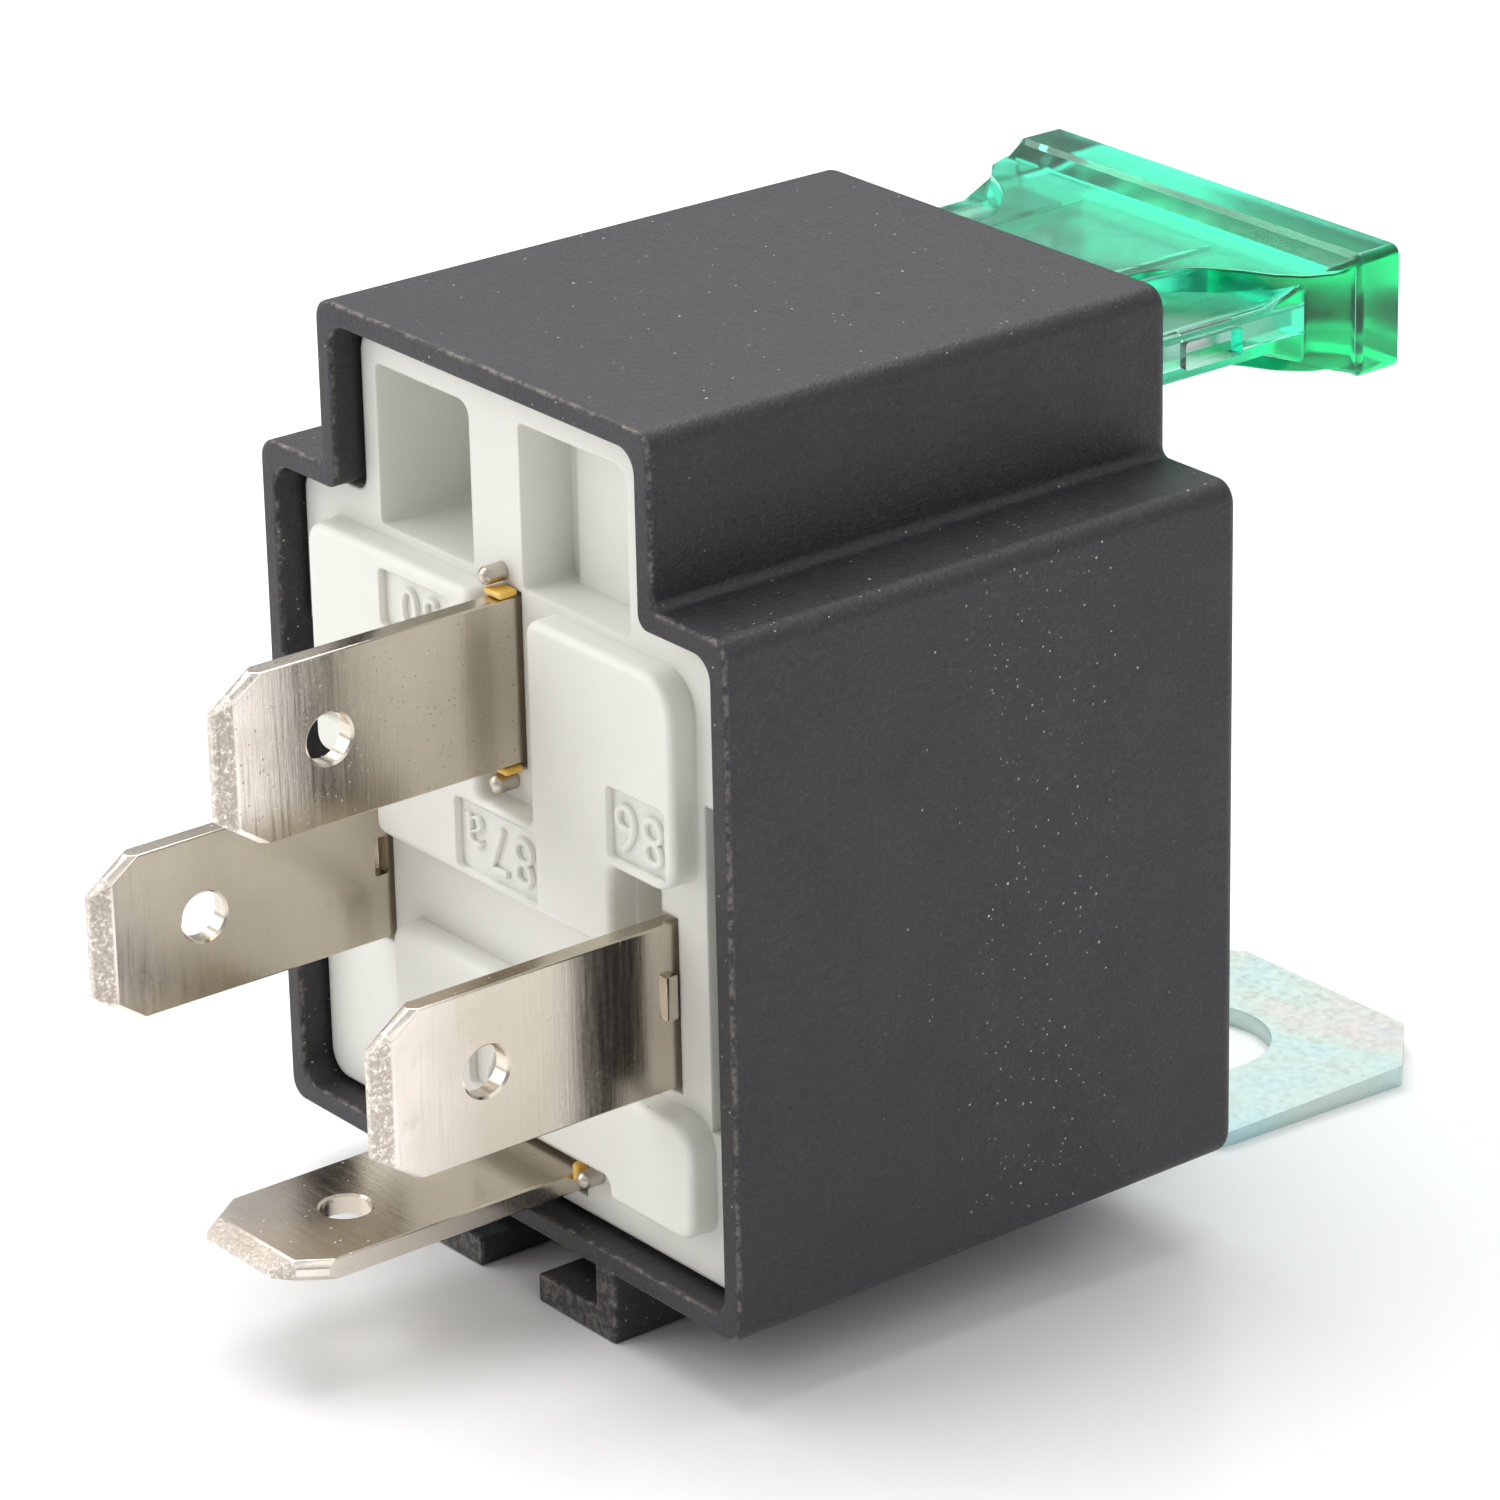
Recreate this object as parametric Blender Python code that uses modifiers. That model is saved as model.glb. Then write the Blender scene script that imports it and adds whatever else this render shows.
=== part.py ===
"""Plug in relay: a four blade car relay with a plugged in blade fuse and a slide on steel bracket.

Local millimetre frame: x across the relay, y from the blade tips to the fuse, z up.
y = 0 is the open rim of the cover, z = 0 the underside of the cover's wide block.
"""

import math

import bmesh
import bpy
from mathutils import Matrix, Vector

MM = 0.001
SHIFT_Y = -14.2
SHIFT_Z = 3.9

COVER_W = 27.0
COVER_WN = 19.2
COVER_H = 32.5
COVER_HS = 26.2
COVER_D = 23.4
COVER_DRAFT = 0.32
COVER_R = 0.7
STEP_R = 0.4
WALL = 0.8
END_WALL = 1.0
END_ROUND = 0.6
RAIL_OUT = 6.3
RAIL_STEM = 5.2
RAIL_FOOT = 1.75
RAIL_LOW = -2.75
RAIL_STEP = -1.65
RAIL_LEN = 20.5

BASE_GAP = 0.25
BASE_FACE = 1.2
BASE_PANEL = 0.05
LABEL_DEEP = 0.3
BASE_BACK = 4.4

DEEP_WELL = [(-7.7, 24.2), (-2.15, 24.2), (-2.15, 30.25), (-7.7, 30.25)]
SHALLOW_WELL = [(0.75, 24.15), (6.85, 24.15), (6.85, 30.3), (0.75, 30.3)]

BLADE_W = 6.3
BLADE_T = 0.8
BLADE_TIP = -11.6
BLADE_HOLE_R = 0.95
BLADE_HOLE = 4.65
BLADE_SHOULDER = -0.1
SHOULDER_STEP = 0.05
T30_TOP = 23.8
T85_TOP = 14.25
T85_X = 8.5
T87_TOP = 2.65

COIL_Z = 10.3
YOKE_X = 5.5
YOKE_LOW = 16.1
YOKE_TOP = 17.2
HINGE_Y = 18.9
HINGE_Z = 17.0
ARM_ANGLE = 2.6

FUSE_Z = 29.15
FUSE_HEAD_W = 19.1
FUSE_HEAD_T = 4.7
FUSE_HEAD_Y = 32.4
FUSE_END = 34.6
FUSE_FOOT = 22.2
FUSE_BLADE_X = 4.95
FUSE_BLADE_W = 5.2
FUSE_BLADE_T = 0.65
FUSE_TIP = 15.6

PLATE_TOP = -3.0
PLATE_T = 0.9
TONGUE_TOP = -0.35
PLATE_HALF = 7.3
PLATE_END = 40.1
PLATE_HOLE_R = 3.25
PLATE_HOLE_Y = 32.9
BEND_Y = 24.6
BEND_ANGLE = 54.5
BEND_OUTER = 1.5
BEND_INNER = 0.6

for old in list(bpy.data.objects):
    bpy.data.objects.remove(old)

PART = bpy.data.collections.new("plug_in_relay")
CUT = bpy.data.collections.new("cutters")
CUT.hide_render = True
bpy.context.scene.collection.children.link(PART)
bpy.context.scene.collection.children.link(CUT)


def to_row(p):
    return Vector((p[0] * MM, (p[1] + SHIFT_Y) * MM, (p[2] + SHIFT_Z) * MM))


def material(name, color, metallic, rough, alpha=1.0):
    mat = bpy.data.materials.new(name)
    mat.use_nodes = True
    shader = mat.node_tree.nodes["Principled BSDF"]
    shader.inputs["Base Color"].default_value = (*color, 1.0)
    shader.inputs["Metallic"].default_value = metallic
    shader.inputs["Roughness"].default_value = rough
    shader.inputs["Alpha"].default_value = alpha
    return mat


def shape(name, verts, faces, home=PART):
    mesh = bpy.data.meshes.new(name)
    mesh.from_pydata([to_row(v) for v in verts], [], faces)
    obj = bpy.data.objects.new(name, mesh)
    home.objects.link(obj)
    bm = bmesh.new()
    bm.from_mesh(mesh)
    bmesh.ops.remove_doubles(bm, verts=bm.verts, dist=1e-6)
    bmesh.ops.recalc_face_normals(bm, faces=bm.faces)
    bm.to_mesh(mesh)
    bm.free()
    return obj


def loft(name, rings, home=PART):
    """A closed solid through rings of points, all of the same count."""
    n = len(rings[0])
    verts = [v for ring in rings for v in ring]
    faces = [list(range(n)), [len(verts) - n + i for i in range(n)]]
    for k in range(len(rings) - 1):
        for i in range(n):
            j = (i + 1) % n
            faces.append([k * n + i, k * n + j, (k + 1) * n + j, (k + 1) * n + i])
    return shape(name, verts, faces, home)


def box(name, x0, x1, y0, y1, z0, z1, home=PART):
    low = [(x0, y0, z0), (x1, y0, z0), (x1, y0, z1), (x0, y0, z1)]
    high = [(x, y1, z) for x, y, z in low]
    return loft(name, [low, high], home)


def prism(name, outline, axis, a, b, home=PART):
    """Extrudes a 2D outline from a to b along x, y or z."""
    rings = []
    for t in (a, b):
        if axis == "x":
            rings.append([(t, p, q) for p, q in outline])
        elif axis == "y":
            rings.append([(p, t, q) for p, q in outline])
        else:
            rings.append([(p, q, t) for p, q in outline])
    return loft(name, rings, home)


def lathe(name, profile, centre_x, centre_z, n=48, home=PART):
    """A closed profile of (radius, y) turned about an axis along y."""
    verts = []
    faces = []
    m = len(profile)
    for k in range(n):
        a = 2 * math.pi * k / n
        for r, y in profile:
            verts.append((centre_x + r * math.cos(a), y, centre_z + r * math.sin(a)))
    for k in range(n):
        q = (k + 1) % n
        for i in range(m):
            j = (i + 1) % m
            faces.append([k * m + i, k * m + j, q * m + j, q * m + i])
    return shape(name, verts, faces, home)


def rod(name, axis, centre, r, a, b, n=32, home=PART):
    """A plain cylinder along x, y or z."""
    outline = []
    for k in range(n):
        t = 2 * math.pi * k / n
        outline.append((centre[0] + r * math.cos(t), centre[1] + r * math.sin(t)))
    return prism(name, outline, axis, a, b, home)


def combine(obj, others, operation):
    """Joins or cuts with the exact solver, then removes the tools."""
    for i, other in enumerate(others):
        mod = obj.modifiers.new(f"{operation.lower()}_{i}", "BOOLEAN")
        mod.operation = operation
        mod.solver = "EXACT"
        mod.object = other
    deps = bpy.context.evaluated_depsgraph_get()
    mesh = bpy.data.meshes.new_from_object(obj.evaluated_get(deps))
    obj.modifiers.clear()
    obj.data = mesh
    bm = bmesh.new()
    bm.from_mesh(mesh)
    bmesh.ops.remove_doubles(bm, verts=bm.verts, dist=2e-6)
    bmesh.ops.dissolve_degenerate(bm, edges=bm.edges, dist=2e-6)
    bm.to_mesh(mesh)
    bm.free()
    for other in others:
        bpy.data.objects.remove(other)


def soften(obj, width, angle=40, segments=2):
    mod = obj.modifiers.new("soft_edges", "BEVEL")
    mod.width = width * MM
    mod.segments = segments
    mod.limit_method = "ANGLE"
    mod.angle_limit = math.radians(angle)
    mod.harden_normals = False


def paint(obj, mat):
    obj.data.materials.clear()
    obj.data.materials.append(mat)


def round_corner(p, q, r, radius, n):
    """Arc points that round corner q of the path p, q, r."""
    a = (Vector(p) - Vector(q)).normalized()
    b = (Vector(r) - Vector(q)).normalized()
    half = a.angle(b) / 2
    reach = radius / math.tan(half)
    centre = Vector(q) + (a + b).normalized() * (radius / math.sin(half))
    start = Vector(q) + a * reach - centre
    sweep = math.pi - 2 * half
    turn = 1 if a.x * b.y - a.y * b.x < 0 else -1
    points = []
    for k in range(n + 1):
        t = turn * sweep * k / n
        points.append(centre + Matrix.Rotation(t, 2) @ start)
    return [(v.x, v.y) for v in points]


def rounded(corners, radii, n=5):
    count = len(corners)
    outline = []
    for i, q in enumerate(corners):
        p = corners[i - 1]
        r = corners[(i + 1) % count]
        outline += round_corner(p, q, r, radii[i], n)
    return outline


def rect(x0, x1, z0, z1, radius, n=4):
    return rounded([(x0, z0), (x1, z0), (x1, z1), (x0, z1)], [radius] * 4, n)


def stepped(inset, draft, n=4):
    """The cover's stepped section, moved inwards by inset and by draft."""
    w = COVER_W / 2 - inset - draft
    wn = COVER_WN / 2 - inset - draft * 0.5
    low = inset
    hs = COVER_HS - inset
    top = COVER_H - inset - draft * 0.2
    corners = [(-w, low), (w, low), (w, hs), (wn, hs), (wn, top), (-wn, top), (-wn, hs), (-w, hs)]
    r = COVER_R + inset * 0.25
    inner = STEP_R + inset * 0.15
    radii = [r, r, r, inner, r, r, inner, r]
    return rounded(corners, radii, n)


def cover_rings(inset, stops):
    rings = []
    for y, extra, draft in stops:
        rings.append([(x, y, z) for x, z in stepped(inset + extra, draft)])
    return rings


def make_cover(mat):
    stops = [(0.0, 0.12, 0.0), (0.12, 0.0, 0.0)]
    stops.append((COVER_D - END_ROUND, 0.0, COVER_DRAFT))
    for k in range(1, 5):
        t = math.radians(22.5 * k)
        y = COVER_D - END_ROUND + END_ROUND * math.sin(t)
        stops.append((y, END_ROUND * (1 - math.cos(t)), COVER_DRAFT))
    cover = loft("cover", cover_rings(0.0, stops))
    hollow_stops = [(-1.0, 0.0, 0.0), (COVER_D - END_WALL, 0.0, COVER_DRAFT)]
    hollow = loft("hollow", cover_rings(WALL, hollow_stops), CUT)
    z0 = FUSE_Z - 2.4
    slot = prism("slot", rect(-9.0, 9.0, z0, FUSE_Z + 2.4, 0.5), "y", 20.0, 30.0, CUT)
    combine(cover, [hollow, slot], "DIFFERENCE")
    rails = []
    for side in (-1, 1):
        outline = [(RAIL_FOOT, RAIL_LOW), (RAIL_OUT, RAIL_LOW), (RAIL_OUT, 0.4)]
        outline += [(RAIL_STEM, 0.4), (RAIL_STEM, RAIL_STEP), (RAIL_FOOT, RAIL_STEP)]
        outline = [(side * x, z) for x, z in outline]
        rails.append(prism(f"rail_{side}", outline, "y", 0.02, RAIL_LEN, CUT))
    combine(cover, rails, "UNION")
    paint(cover, mat)
    return cover


def base_outline(extra):
    return stepped(WALL + BASE_GAP + extra, 0.0)


def make_base(mat):
    back = [(x, BASE_BACK, z) for x, z in base_outline(0.15)]
    front = [(x, BASE_FACE, z) for x, z in base_outline(0.0)]
    base = loft("base", [front, back])
    upper = [(-7.3, 12.7), (6.7, 12.7), (6.7, 15.9), (10.35, 15.9), (10.35, 23.8), (2.2, 23.8), (2.2, 15.95),
             (-1.0, 15.95), (-1.0, 23.8), (-10.9, 23.8), (-10.9, 14.9), (-7.3, 14.9)]
    lower = [(-6.6, 3.7), (6.1, 3.7), (6.1, 2.9), (10.9, 2.9), (10.9, 7.3), (6.9, 7.3), (6.9, 9.3), (-6.6, 9.3)]
    raised = [
        prism("upper", rounded(upper, [0.5, 0.5, 0.4, 1.1, 1.5, 0.6, 0.4, 0.4, 0.5, 0.9, 0.6, 0.5], 4), "y",
              BASE_PANEL, BASE_FACE + 0.4, CUT),
        prism("lower", rounded(lower, [0.6, 0.35, 0.35, 0.8, 1.2, 0.6, 0.6, 0.6], 4), "y",
              BASE_PANEL, BASE_FACE + 0.4, CUT),
        prism("well", rect(-8.3, -1.5, 23.4, 30.8, 0.8), "y", BASE_BACK - 0.4, 6.5, CUT),
    ]
    for piece in raised:
        soften(piece, 0.22, 60)
    combine(base, raised, "UNION")
    cuts = [
        prism("deep_well", rounded(DEEP_WELL, [0.2, 0.2, 0.6, 0.2], 4), "y", 0.0, 5.9, CUT),
        prism("shallow_well", rounded(SHALLOW_WELL, [0.2, 0.2, 0.7, 0.2], 4), "y", 0.0, 3.0, CUT),
        prism("groove", rect(0.75, 1.6, 24.15, 30.3, 0.2), "y", 0.0, 3.4, CUT),
        prism("label_30", rect(-6.4, -2.1, 21.0, 23.2, 0.3), "y", -1.0, BASE_PANEL + LABEL_DEEP, CUT),
        prism("label_87a", rect(-2.3, 2.5, 13.0, 15.75, 0.3), "y", -1.0, BASE_PANEL + LABEL_DEEP, CUT),
        prism("label_86", rect(6.7, 9.95, 16.3, 19.0, 0.3), "y", -1.0, BASE_PANEL + LABEL_DEEP, CUT),
        prism("label_85", rect(-10.4, -7.2, 16.3, 19.0, 0.3), "y", -1.0, BASE_PANEL + LABEL_DEEP, CUT),
        prism("label_87", rect(-2.0, 2.0, 4.6, 7.2, 0.3), "y", -1.0, BASE_PANEL + LABEL_DEEP, CUT),
        prism("relief_86", rect(6.85, 8.2, 12.0, 15.6, 0.5), "y", -1.0, 2.2, CUT),
        prism("relief_30", rect(-1.9, -0.6, 20.0, 23.0, 0.4), "y", -1.0, 1.5, CUT),
        box("latch_right", 10.75, 13.5, -1.0, 2.6, 6.9, 19.2, CUT),
        box("latch_left", -13.5, -11.0, -1.0, 2.6, 6.9, 19.2, CUT),
        box("stop_slot", 6.0, 8.2, 3.2, 6.0, 1.7, 2.9, CUT),
        box("slot_87", -3.35, 3.35, -1.0, 6.0, T87_TOP - BLADE_T - 0.2, T87_TOP + 0.2, CUT),
    ]
    for x, z in ((0.0, T30_TOP), (-T85_X, T85_TOP), (T85_X, T85_TOP)):
        cuts.append(box(f"slot{x}", x - 0.6, x + 0.6, -1.0, 6.0, z - BLADE_W - 0.2, z + 0.2, CUT))
    combine(base, cuts, "DIFFERENCE")
    paint(base, mat)
    return base


def blade_outline(top):
    """The flat outline of a blade in (y, across), tip first, up to its shoulder."""
    low = top - BLADE_W
    return [(BLADE_TIP + 1.7, low), (BLADE_SHOULDER, low), (BLADE_SHOULDER, top), (BLADE_TIP + 1.7, top),
            (BLADE_TIP, top - 1.2), (BLADE_TIP, low + 1.2)]


def make_blade(name, x, top, inner, lance, mat):
    """An upright blade at x, with its inner arm given as boxes, and a lance pressed out to one side."""
    blade = prism(name, blade_outline(top), "x", x - BLADE_T / 2, x + BLADE_T / 2)
    soften_tip(blade, x)
    half = BLADE_T / 2 - SHOULDER_STEP
    root = (x - half, x + half, BLADE_SHOULDER - 0.1, 4.0, top - BLADE_W + SHOULDER_STEP, top - SHOULDER_STEP)
    arms = []
    for i, (x0, x1, y0, y1, z0, z1) in enumerate([root] + inner):
        arms.append(box(f"{name}_arm{i}", x0, x1, y0, y1, z0, z1, CUT))
    cuts = [rod(f"{name}_hole", "x", (BLADE_TIP + BLADE_HOLE, top - BLADE_W / 2), BLADE_HOLE_R, x - 2, x + 2, 28, CUT)]
    if lance:
        out = sorted((x + lance * 0.2, x + lance * 0.65))
        back = sorted((x - lance * 0.6, x - lance * 0.1))
        arms.append(box(f"{name}_lance", *out, 0.6, 1.1, 10.7, 12.4, CUT))
        cuts.append(box(f"{name}_dent", *back, 0.5, 1.1, 10.5, 12.0, CUT))
    combine(blade, arms, "UNION")
    combine(blade, cuts, "DIFFERENCE")
    paint(blade, mat)
    return blade


def soften_tip(blade, x):
    """Narrows the blade at its tip and chamfered corners, to lead it into a socket."""
    for vert in blade.data.vertices:
        y = vert.co.y / MM - SHIFT_Y
        if y < BLADE_TIP + 0.01:
            vert.co.x = (x + (vert.co.x / MM - x) * 0.45) * MM


def make_terminals(mat):
    t = BLADE_T / 2
    make_blade("terminal_30", 0.0, T30_TOP, [(-t + 0.05, t - 0.05, 3.9, 9.2, 18.0, 23.6),
               (-t + 0.05, t - 0.05, 6.6, 9.2, 23.5, 29.6)], 0, mat)
    make_blade("terminal_85", -T85_X, T85_TOP, [(-T85_X - t + 0.05, -T85_X + t - 0.05, 3.9, 8.6, 9.0, 13.2)], -1, mat)
    make_blade("terminal_86", T85_X, T85_TOP, [(T85_X - t + 0.05, T85_X + t - 0.05, 3.9, 8.6, 9.0, 13.2)], 1, mat)
    low = -BLADE_W / 2
    outline = [(x, y) for y, x in blade_outline(-low)]
    blade = prism("terminal_87", outline, "z", T87_TOP - BLADE_T, T87_TOP)
    for vert in blade.data.vertices:
        if vert.co.y / MM - SHIFT_Y < BLADE_TIP + 0.01:
            mid = (T87_TOP - t + SHIFT_Z) * MM
            vert.co.z = mid + (vert.co.z - mid) * 0.45
    arm = [(3.9, T87_TOP - 0.75), (17.7, T87_TOP - 0.75), (17.7, 4.4), (16.95, 4.4), (16.95, T87_TOP - 0.05),
           (3.9, T87_TOP - 0.05)]
    root = box("root", low + SHOULDER_STEP, -low - SHOULDER_STEP, BLADE_SHOULDER - 0.1, 4.0,
               T87_TOP - 0.75, T87_TOP - 0.05, CUT)
    combine(blade, [root, prism("arm", arm, "x", -2.6, 2.6, CUT)], "UNION")
    hole = rod("hole", "z", (0.0, BLADE_TIP + BLADE_HOLE), BLADE_HOLE_R, 0, 5, 28, CUT)
    combine(blade, [hole], "DIFFERENCE")
    paint(blade, mat)
    contact = rod("fixed_contact", "y", (0.0, 3.2), 1.2, 18.0, 18.7)
    soften(contact, 0.15)
    return contact


def drop(name, cx, cz, rx, rz, y0, y1, mat):
    """A small domed deposit of sealant in the gap beside a blade."""
    rings = []
    for y, s in ((y0, 0.4), (y0 + 0.1, 0.75), (y0 + 0.25, 1.0), (y1, 1.0)):
        ring = []
        for k in range(16):
            a = 2 * math.pi * k / 16
            ring.append((cx + s * rx * math.cos(a), y, cz + s * rz * math.sin(a)))
        rings.append(ring)
    paint(loft(name, rings), mat)


def pin(name, cx, cz, r, y0, y1, mat):
    """The rounded end of a staked pin."""
    rings = []
    for y, s in ((y0, 0.35), (y0 + 0.08, 0.7), (y0 + 0.25, 0.95), (y0 + 0.4, 1.0), (y1, 1.0)):
        ring = []
        for k in range(20):
            a = 2 * math.pi * k / 20
            ring.append((cx + s * r * math.cos(a), y, cz + s * r * math.sin(a)))
        rings.append(ring)
    paint(loft(name, rings), mat)


def make_magnet(plastic, copper, steel, wire):
    bobbin = lathe("bobbin", [(2.6, 6.6), (5.5, 6.6), (5.5, 7.4), (3.2, 7.4), (3.2, 16.6), (5.5, 16.6),
                              (5.5, 17.4), (2.6, 17.4)], 0.0, COIL_Z)
    paint(bobbin, plastic)
    coil = lathe("coil_winding", [(3.5, 7.7), (5.1, 7.7), (5.2, 7.9), (5.2, 16.1), (5.1, 16.3), (3.5, 16.3)], 0.0, COIL_Z)
    paint(coil, copper)
    core = rod("iron_core", "y", (0.0, COIL_Z), 2.3, 5.2, 17.9)
    pole = rod("pole", "y", (0.0, COIL_Z), 3.8, 17.7, 18.3, 40, CUT)
    combine(core, [pole], "UNION")
    paint(core, steel)
    outline = [(4.9, 4.9), (6.3, 4.9), (6.3, YOKE_LOW), (18.6, YOKE_LOW), (18.6, YOKE_TOP), (4.9, YOKE_TOP)]
    yoke = prism("yoke", outline, "x", -YOKE_X, YOKE_X)
    cuts = [rod("core_hole", "y", (0.0, COIL_Z), 2.6, 3.0, 8.0, 32, CUT)]
    for x in (-2.0, 2.0):
        cuts.append(rod(f"rivet_hole{x}", "z", (x, 15.0), 0.75, 14.0, 20.0, 20, CUT))
    combine(yoke, cuts, "DIFFERENCE")
    paint(yoke, steel)
    for name, side in (("coil_lead_85", -1), ("coil_lead_86", 1)):
        points = [(5.55, 9.6, 10.3), (6.1, 9.4, 10.7), (6.8, 8.8, 11.0), (7.3, 8.1, 11.1), (7.75, 7.5, 11.1)]
        lead = tube(name, [(side * x, y, z) for x, y, z in points], 0.22)
        paint(lead, wire)


def tube(name, points, radius, n=8):
    rings = []
    for i, p in enumerate(points):
        a = Vector(points[max(i - 1, 0)])
        b = Vector(points[min(i + 1, len(points) - 1)])
        along = (b - a).normalized()
        side = along.cross(Vector((0, 0, 1))).normalized()
        up = side.cross(along)
        ring = []
        for k in range(n):
            t = 2 * math.pi * k / n
            v = Vector(p) + side * (radius * math.cos(t)) + up * (radius * math.sin(t))
            ring.append(tuple(v))
        rings.append(ring)
    return loft(name, rings)


def set_origin(obj, point):
    target = to_row(point)
    obj.data.transform(Matrix.Translation(-target))
    obj.location = target


def bent_strip(path, thick):
    """Outline of a strip that follows a path of (y, z) points, thick to its right."""
    outer = []
    inner = []
    for i, p in enumerate(path):
        a = Vector(path[max(i - 1, 0)])
        b = Vector(path[min(i + 1, len(path) - 1)])
        along = (b - a).normalized()
        side = Vector((along.y, -along.x))
        outer.append(tuple(p))
        inner.append(tuple(Vector(p) + side * thick))
    return outer + inner[::-1]


def make_armature(steel, spring_mat, contact_mat, fixed):
    armature = prism("armature", rect(-5.0, 5.0, 6.0, 17.0, 0.8), "y", HINGE_Y, 20.2)
    holes = [rod(f"h{z}", "y", (0.0, z), 0.75, 17.0, 22.0, 20, CUT) for z in (9.6, 13.4)]
    combine(armature, holes, "DIFFERENCE")
    paint(armature, steel)
    bend = []
    for k in range(7):
        t = math.radians(15 * k)
        bend.append((19.55 + 1.2 * math.sin(t), 16.55 + 1.2 * math.cos(t)))
    path = [(13.2, 17.75)] + bend + [(20.75, 2.0)]
    spring = prism("contact_spring", bent_strip(path, 0.25), "x", -3.4, 3.4)
    cuts = [rod(f"v{x}", "z", (x, 15.0), 0.75, 14.0, 20.0, 20, CUT) for x in (-2.0, 2.0)]
    cuts += [rod(f"w{z}", "y", (0.0, z), 0.75, 17.0, 22.0, 20, CUT) for z in (9.6, 13.4)]
    combine(spring, cuts, "DIFFERENCE")
    paint(spring, spring_mat)
    contact = rod("moving_contact", "y", (0.0, 3.2), 1.2, 19.5, 20.2)
    paint(contact, contact_mat)
    soften(contact, 0.15)
    paint(fixed, contact_mat)
    parts = [armature, spring, contact]
    for name, z in (("armature_rivet_a", 9.6), ("armature_rivet_b", 13.4)):
        rivet = rod(name, "y", (0.0, z), 0.5, 19.1, 21.2, 20)
        head = rod("head", "y", (0.0, z), 1.1, 21.05, 21.5, 24, CUT)
        combine(rivet, [head], "UNION")
        paint(rivet, steel)
        parts.append(rivet)
    for part in parts:
        set_origin(part, (0.0, HINGE_Y, HINGE_Z))
    for name, x in (("spring_rivet_a", -2.0), ("spring_rivet_b", 2.0)):
        rivet = rod(name, "z", (x, 15.0), 0.5, 16.2, 18.2, 20)
        head = rod("head", "z", (x, 15.0), 1.1, 18.05, 18.5, 24, CUT)
        combine(rivet, [head], "UNION")
        paint(rivet, steel)


def make_stop(mat):
    arm = box("rest_stop", 6.3, 7.9, 3.5, 22.0, 1.95, 2.65)
    combine(arm, [box("cross", -1.5, 7.9, 21.3, 22.0, 1.95, 4.6, CUT)], "UNION")
    paint(arm, mat)


def make_clips(mat):
    for name, side in (("fuse_clip_line", -1), ("fuse_clip_load", 1)):
        c = side * FUSE_BLADE_X
        half = []
        for y, z in ((14.2, 0.0), (14.2, 1.15), (19.6, 1.15), (20.4, 0.8), (21.2, 1.3), (21.5, 0.95),
                     (20.4, 0.42), (19.4, 0.7), (14.7, 0.7), (14.7, 0.0)):
            half.append((y, z))
        outline = [(y, FUSE_Z + z) for y, z in half] + [(y, FUSE_Z - z) for y, z in half[-2:0:-1]]
        clip = prism(name, outline, "x", c - 2.3, c + 2.3)
        if side < 0:
            arm = [box("a0", c - 2.3, c + 2.3, 12.6, 14.3, FUSE_Z - 0.3, FUSE_Z + 0.3, CUT)]
            arm.append(box("a1", c + 1.2, -0.8, 9.4, 12.8, FUSE_Z - 0.3, FUSE_Z + 0.3, CUT))
            arm.append(box("a2", -1.4, -0.8, 6.8, 12.8, 26.6, FUSE_Z + 0.3, CUT))
        else:
            arm = [box("b0", c - 2.3, c + 2.3, 11.6, 14.3, FUSE_Z - 0.3, FUSE_Z + 0.3, CUT)]
            arm.append(box("b1", c - 2.0, c + 2.0, 11.6, 12.3, 17.55, FUSE_Z + 0.2, CUT))
            arm.append(box("b2", c - 2.0, 5.4, 8.4, 12.3, 17.5, 18.2, CUT))
        combine(clip, arm, "UNION")
        paint(clip, mat)


def fuse_ring(y, half_x, half_z, radius):
    return [(x, y, z) for x, z in rect(-half_x, half_x, FUSE_Z - half_z, FUSE_Z + half_z, radius)]


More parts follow.
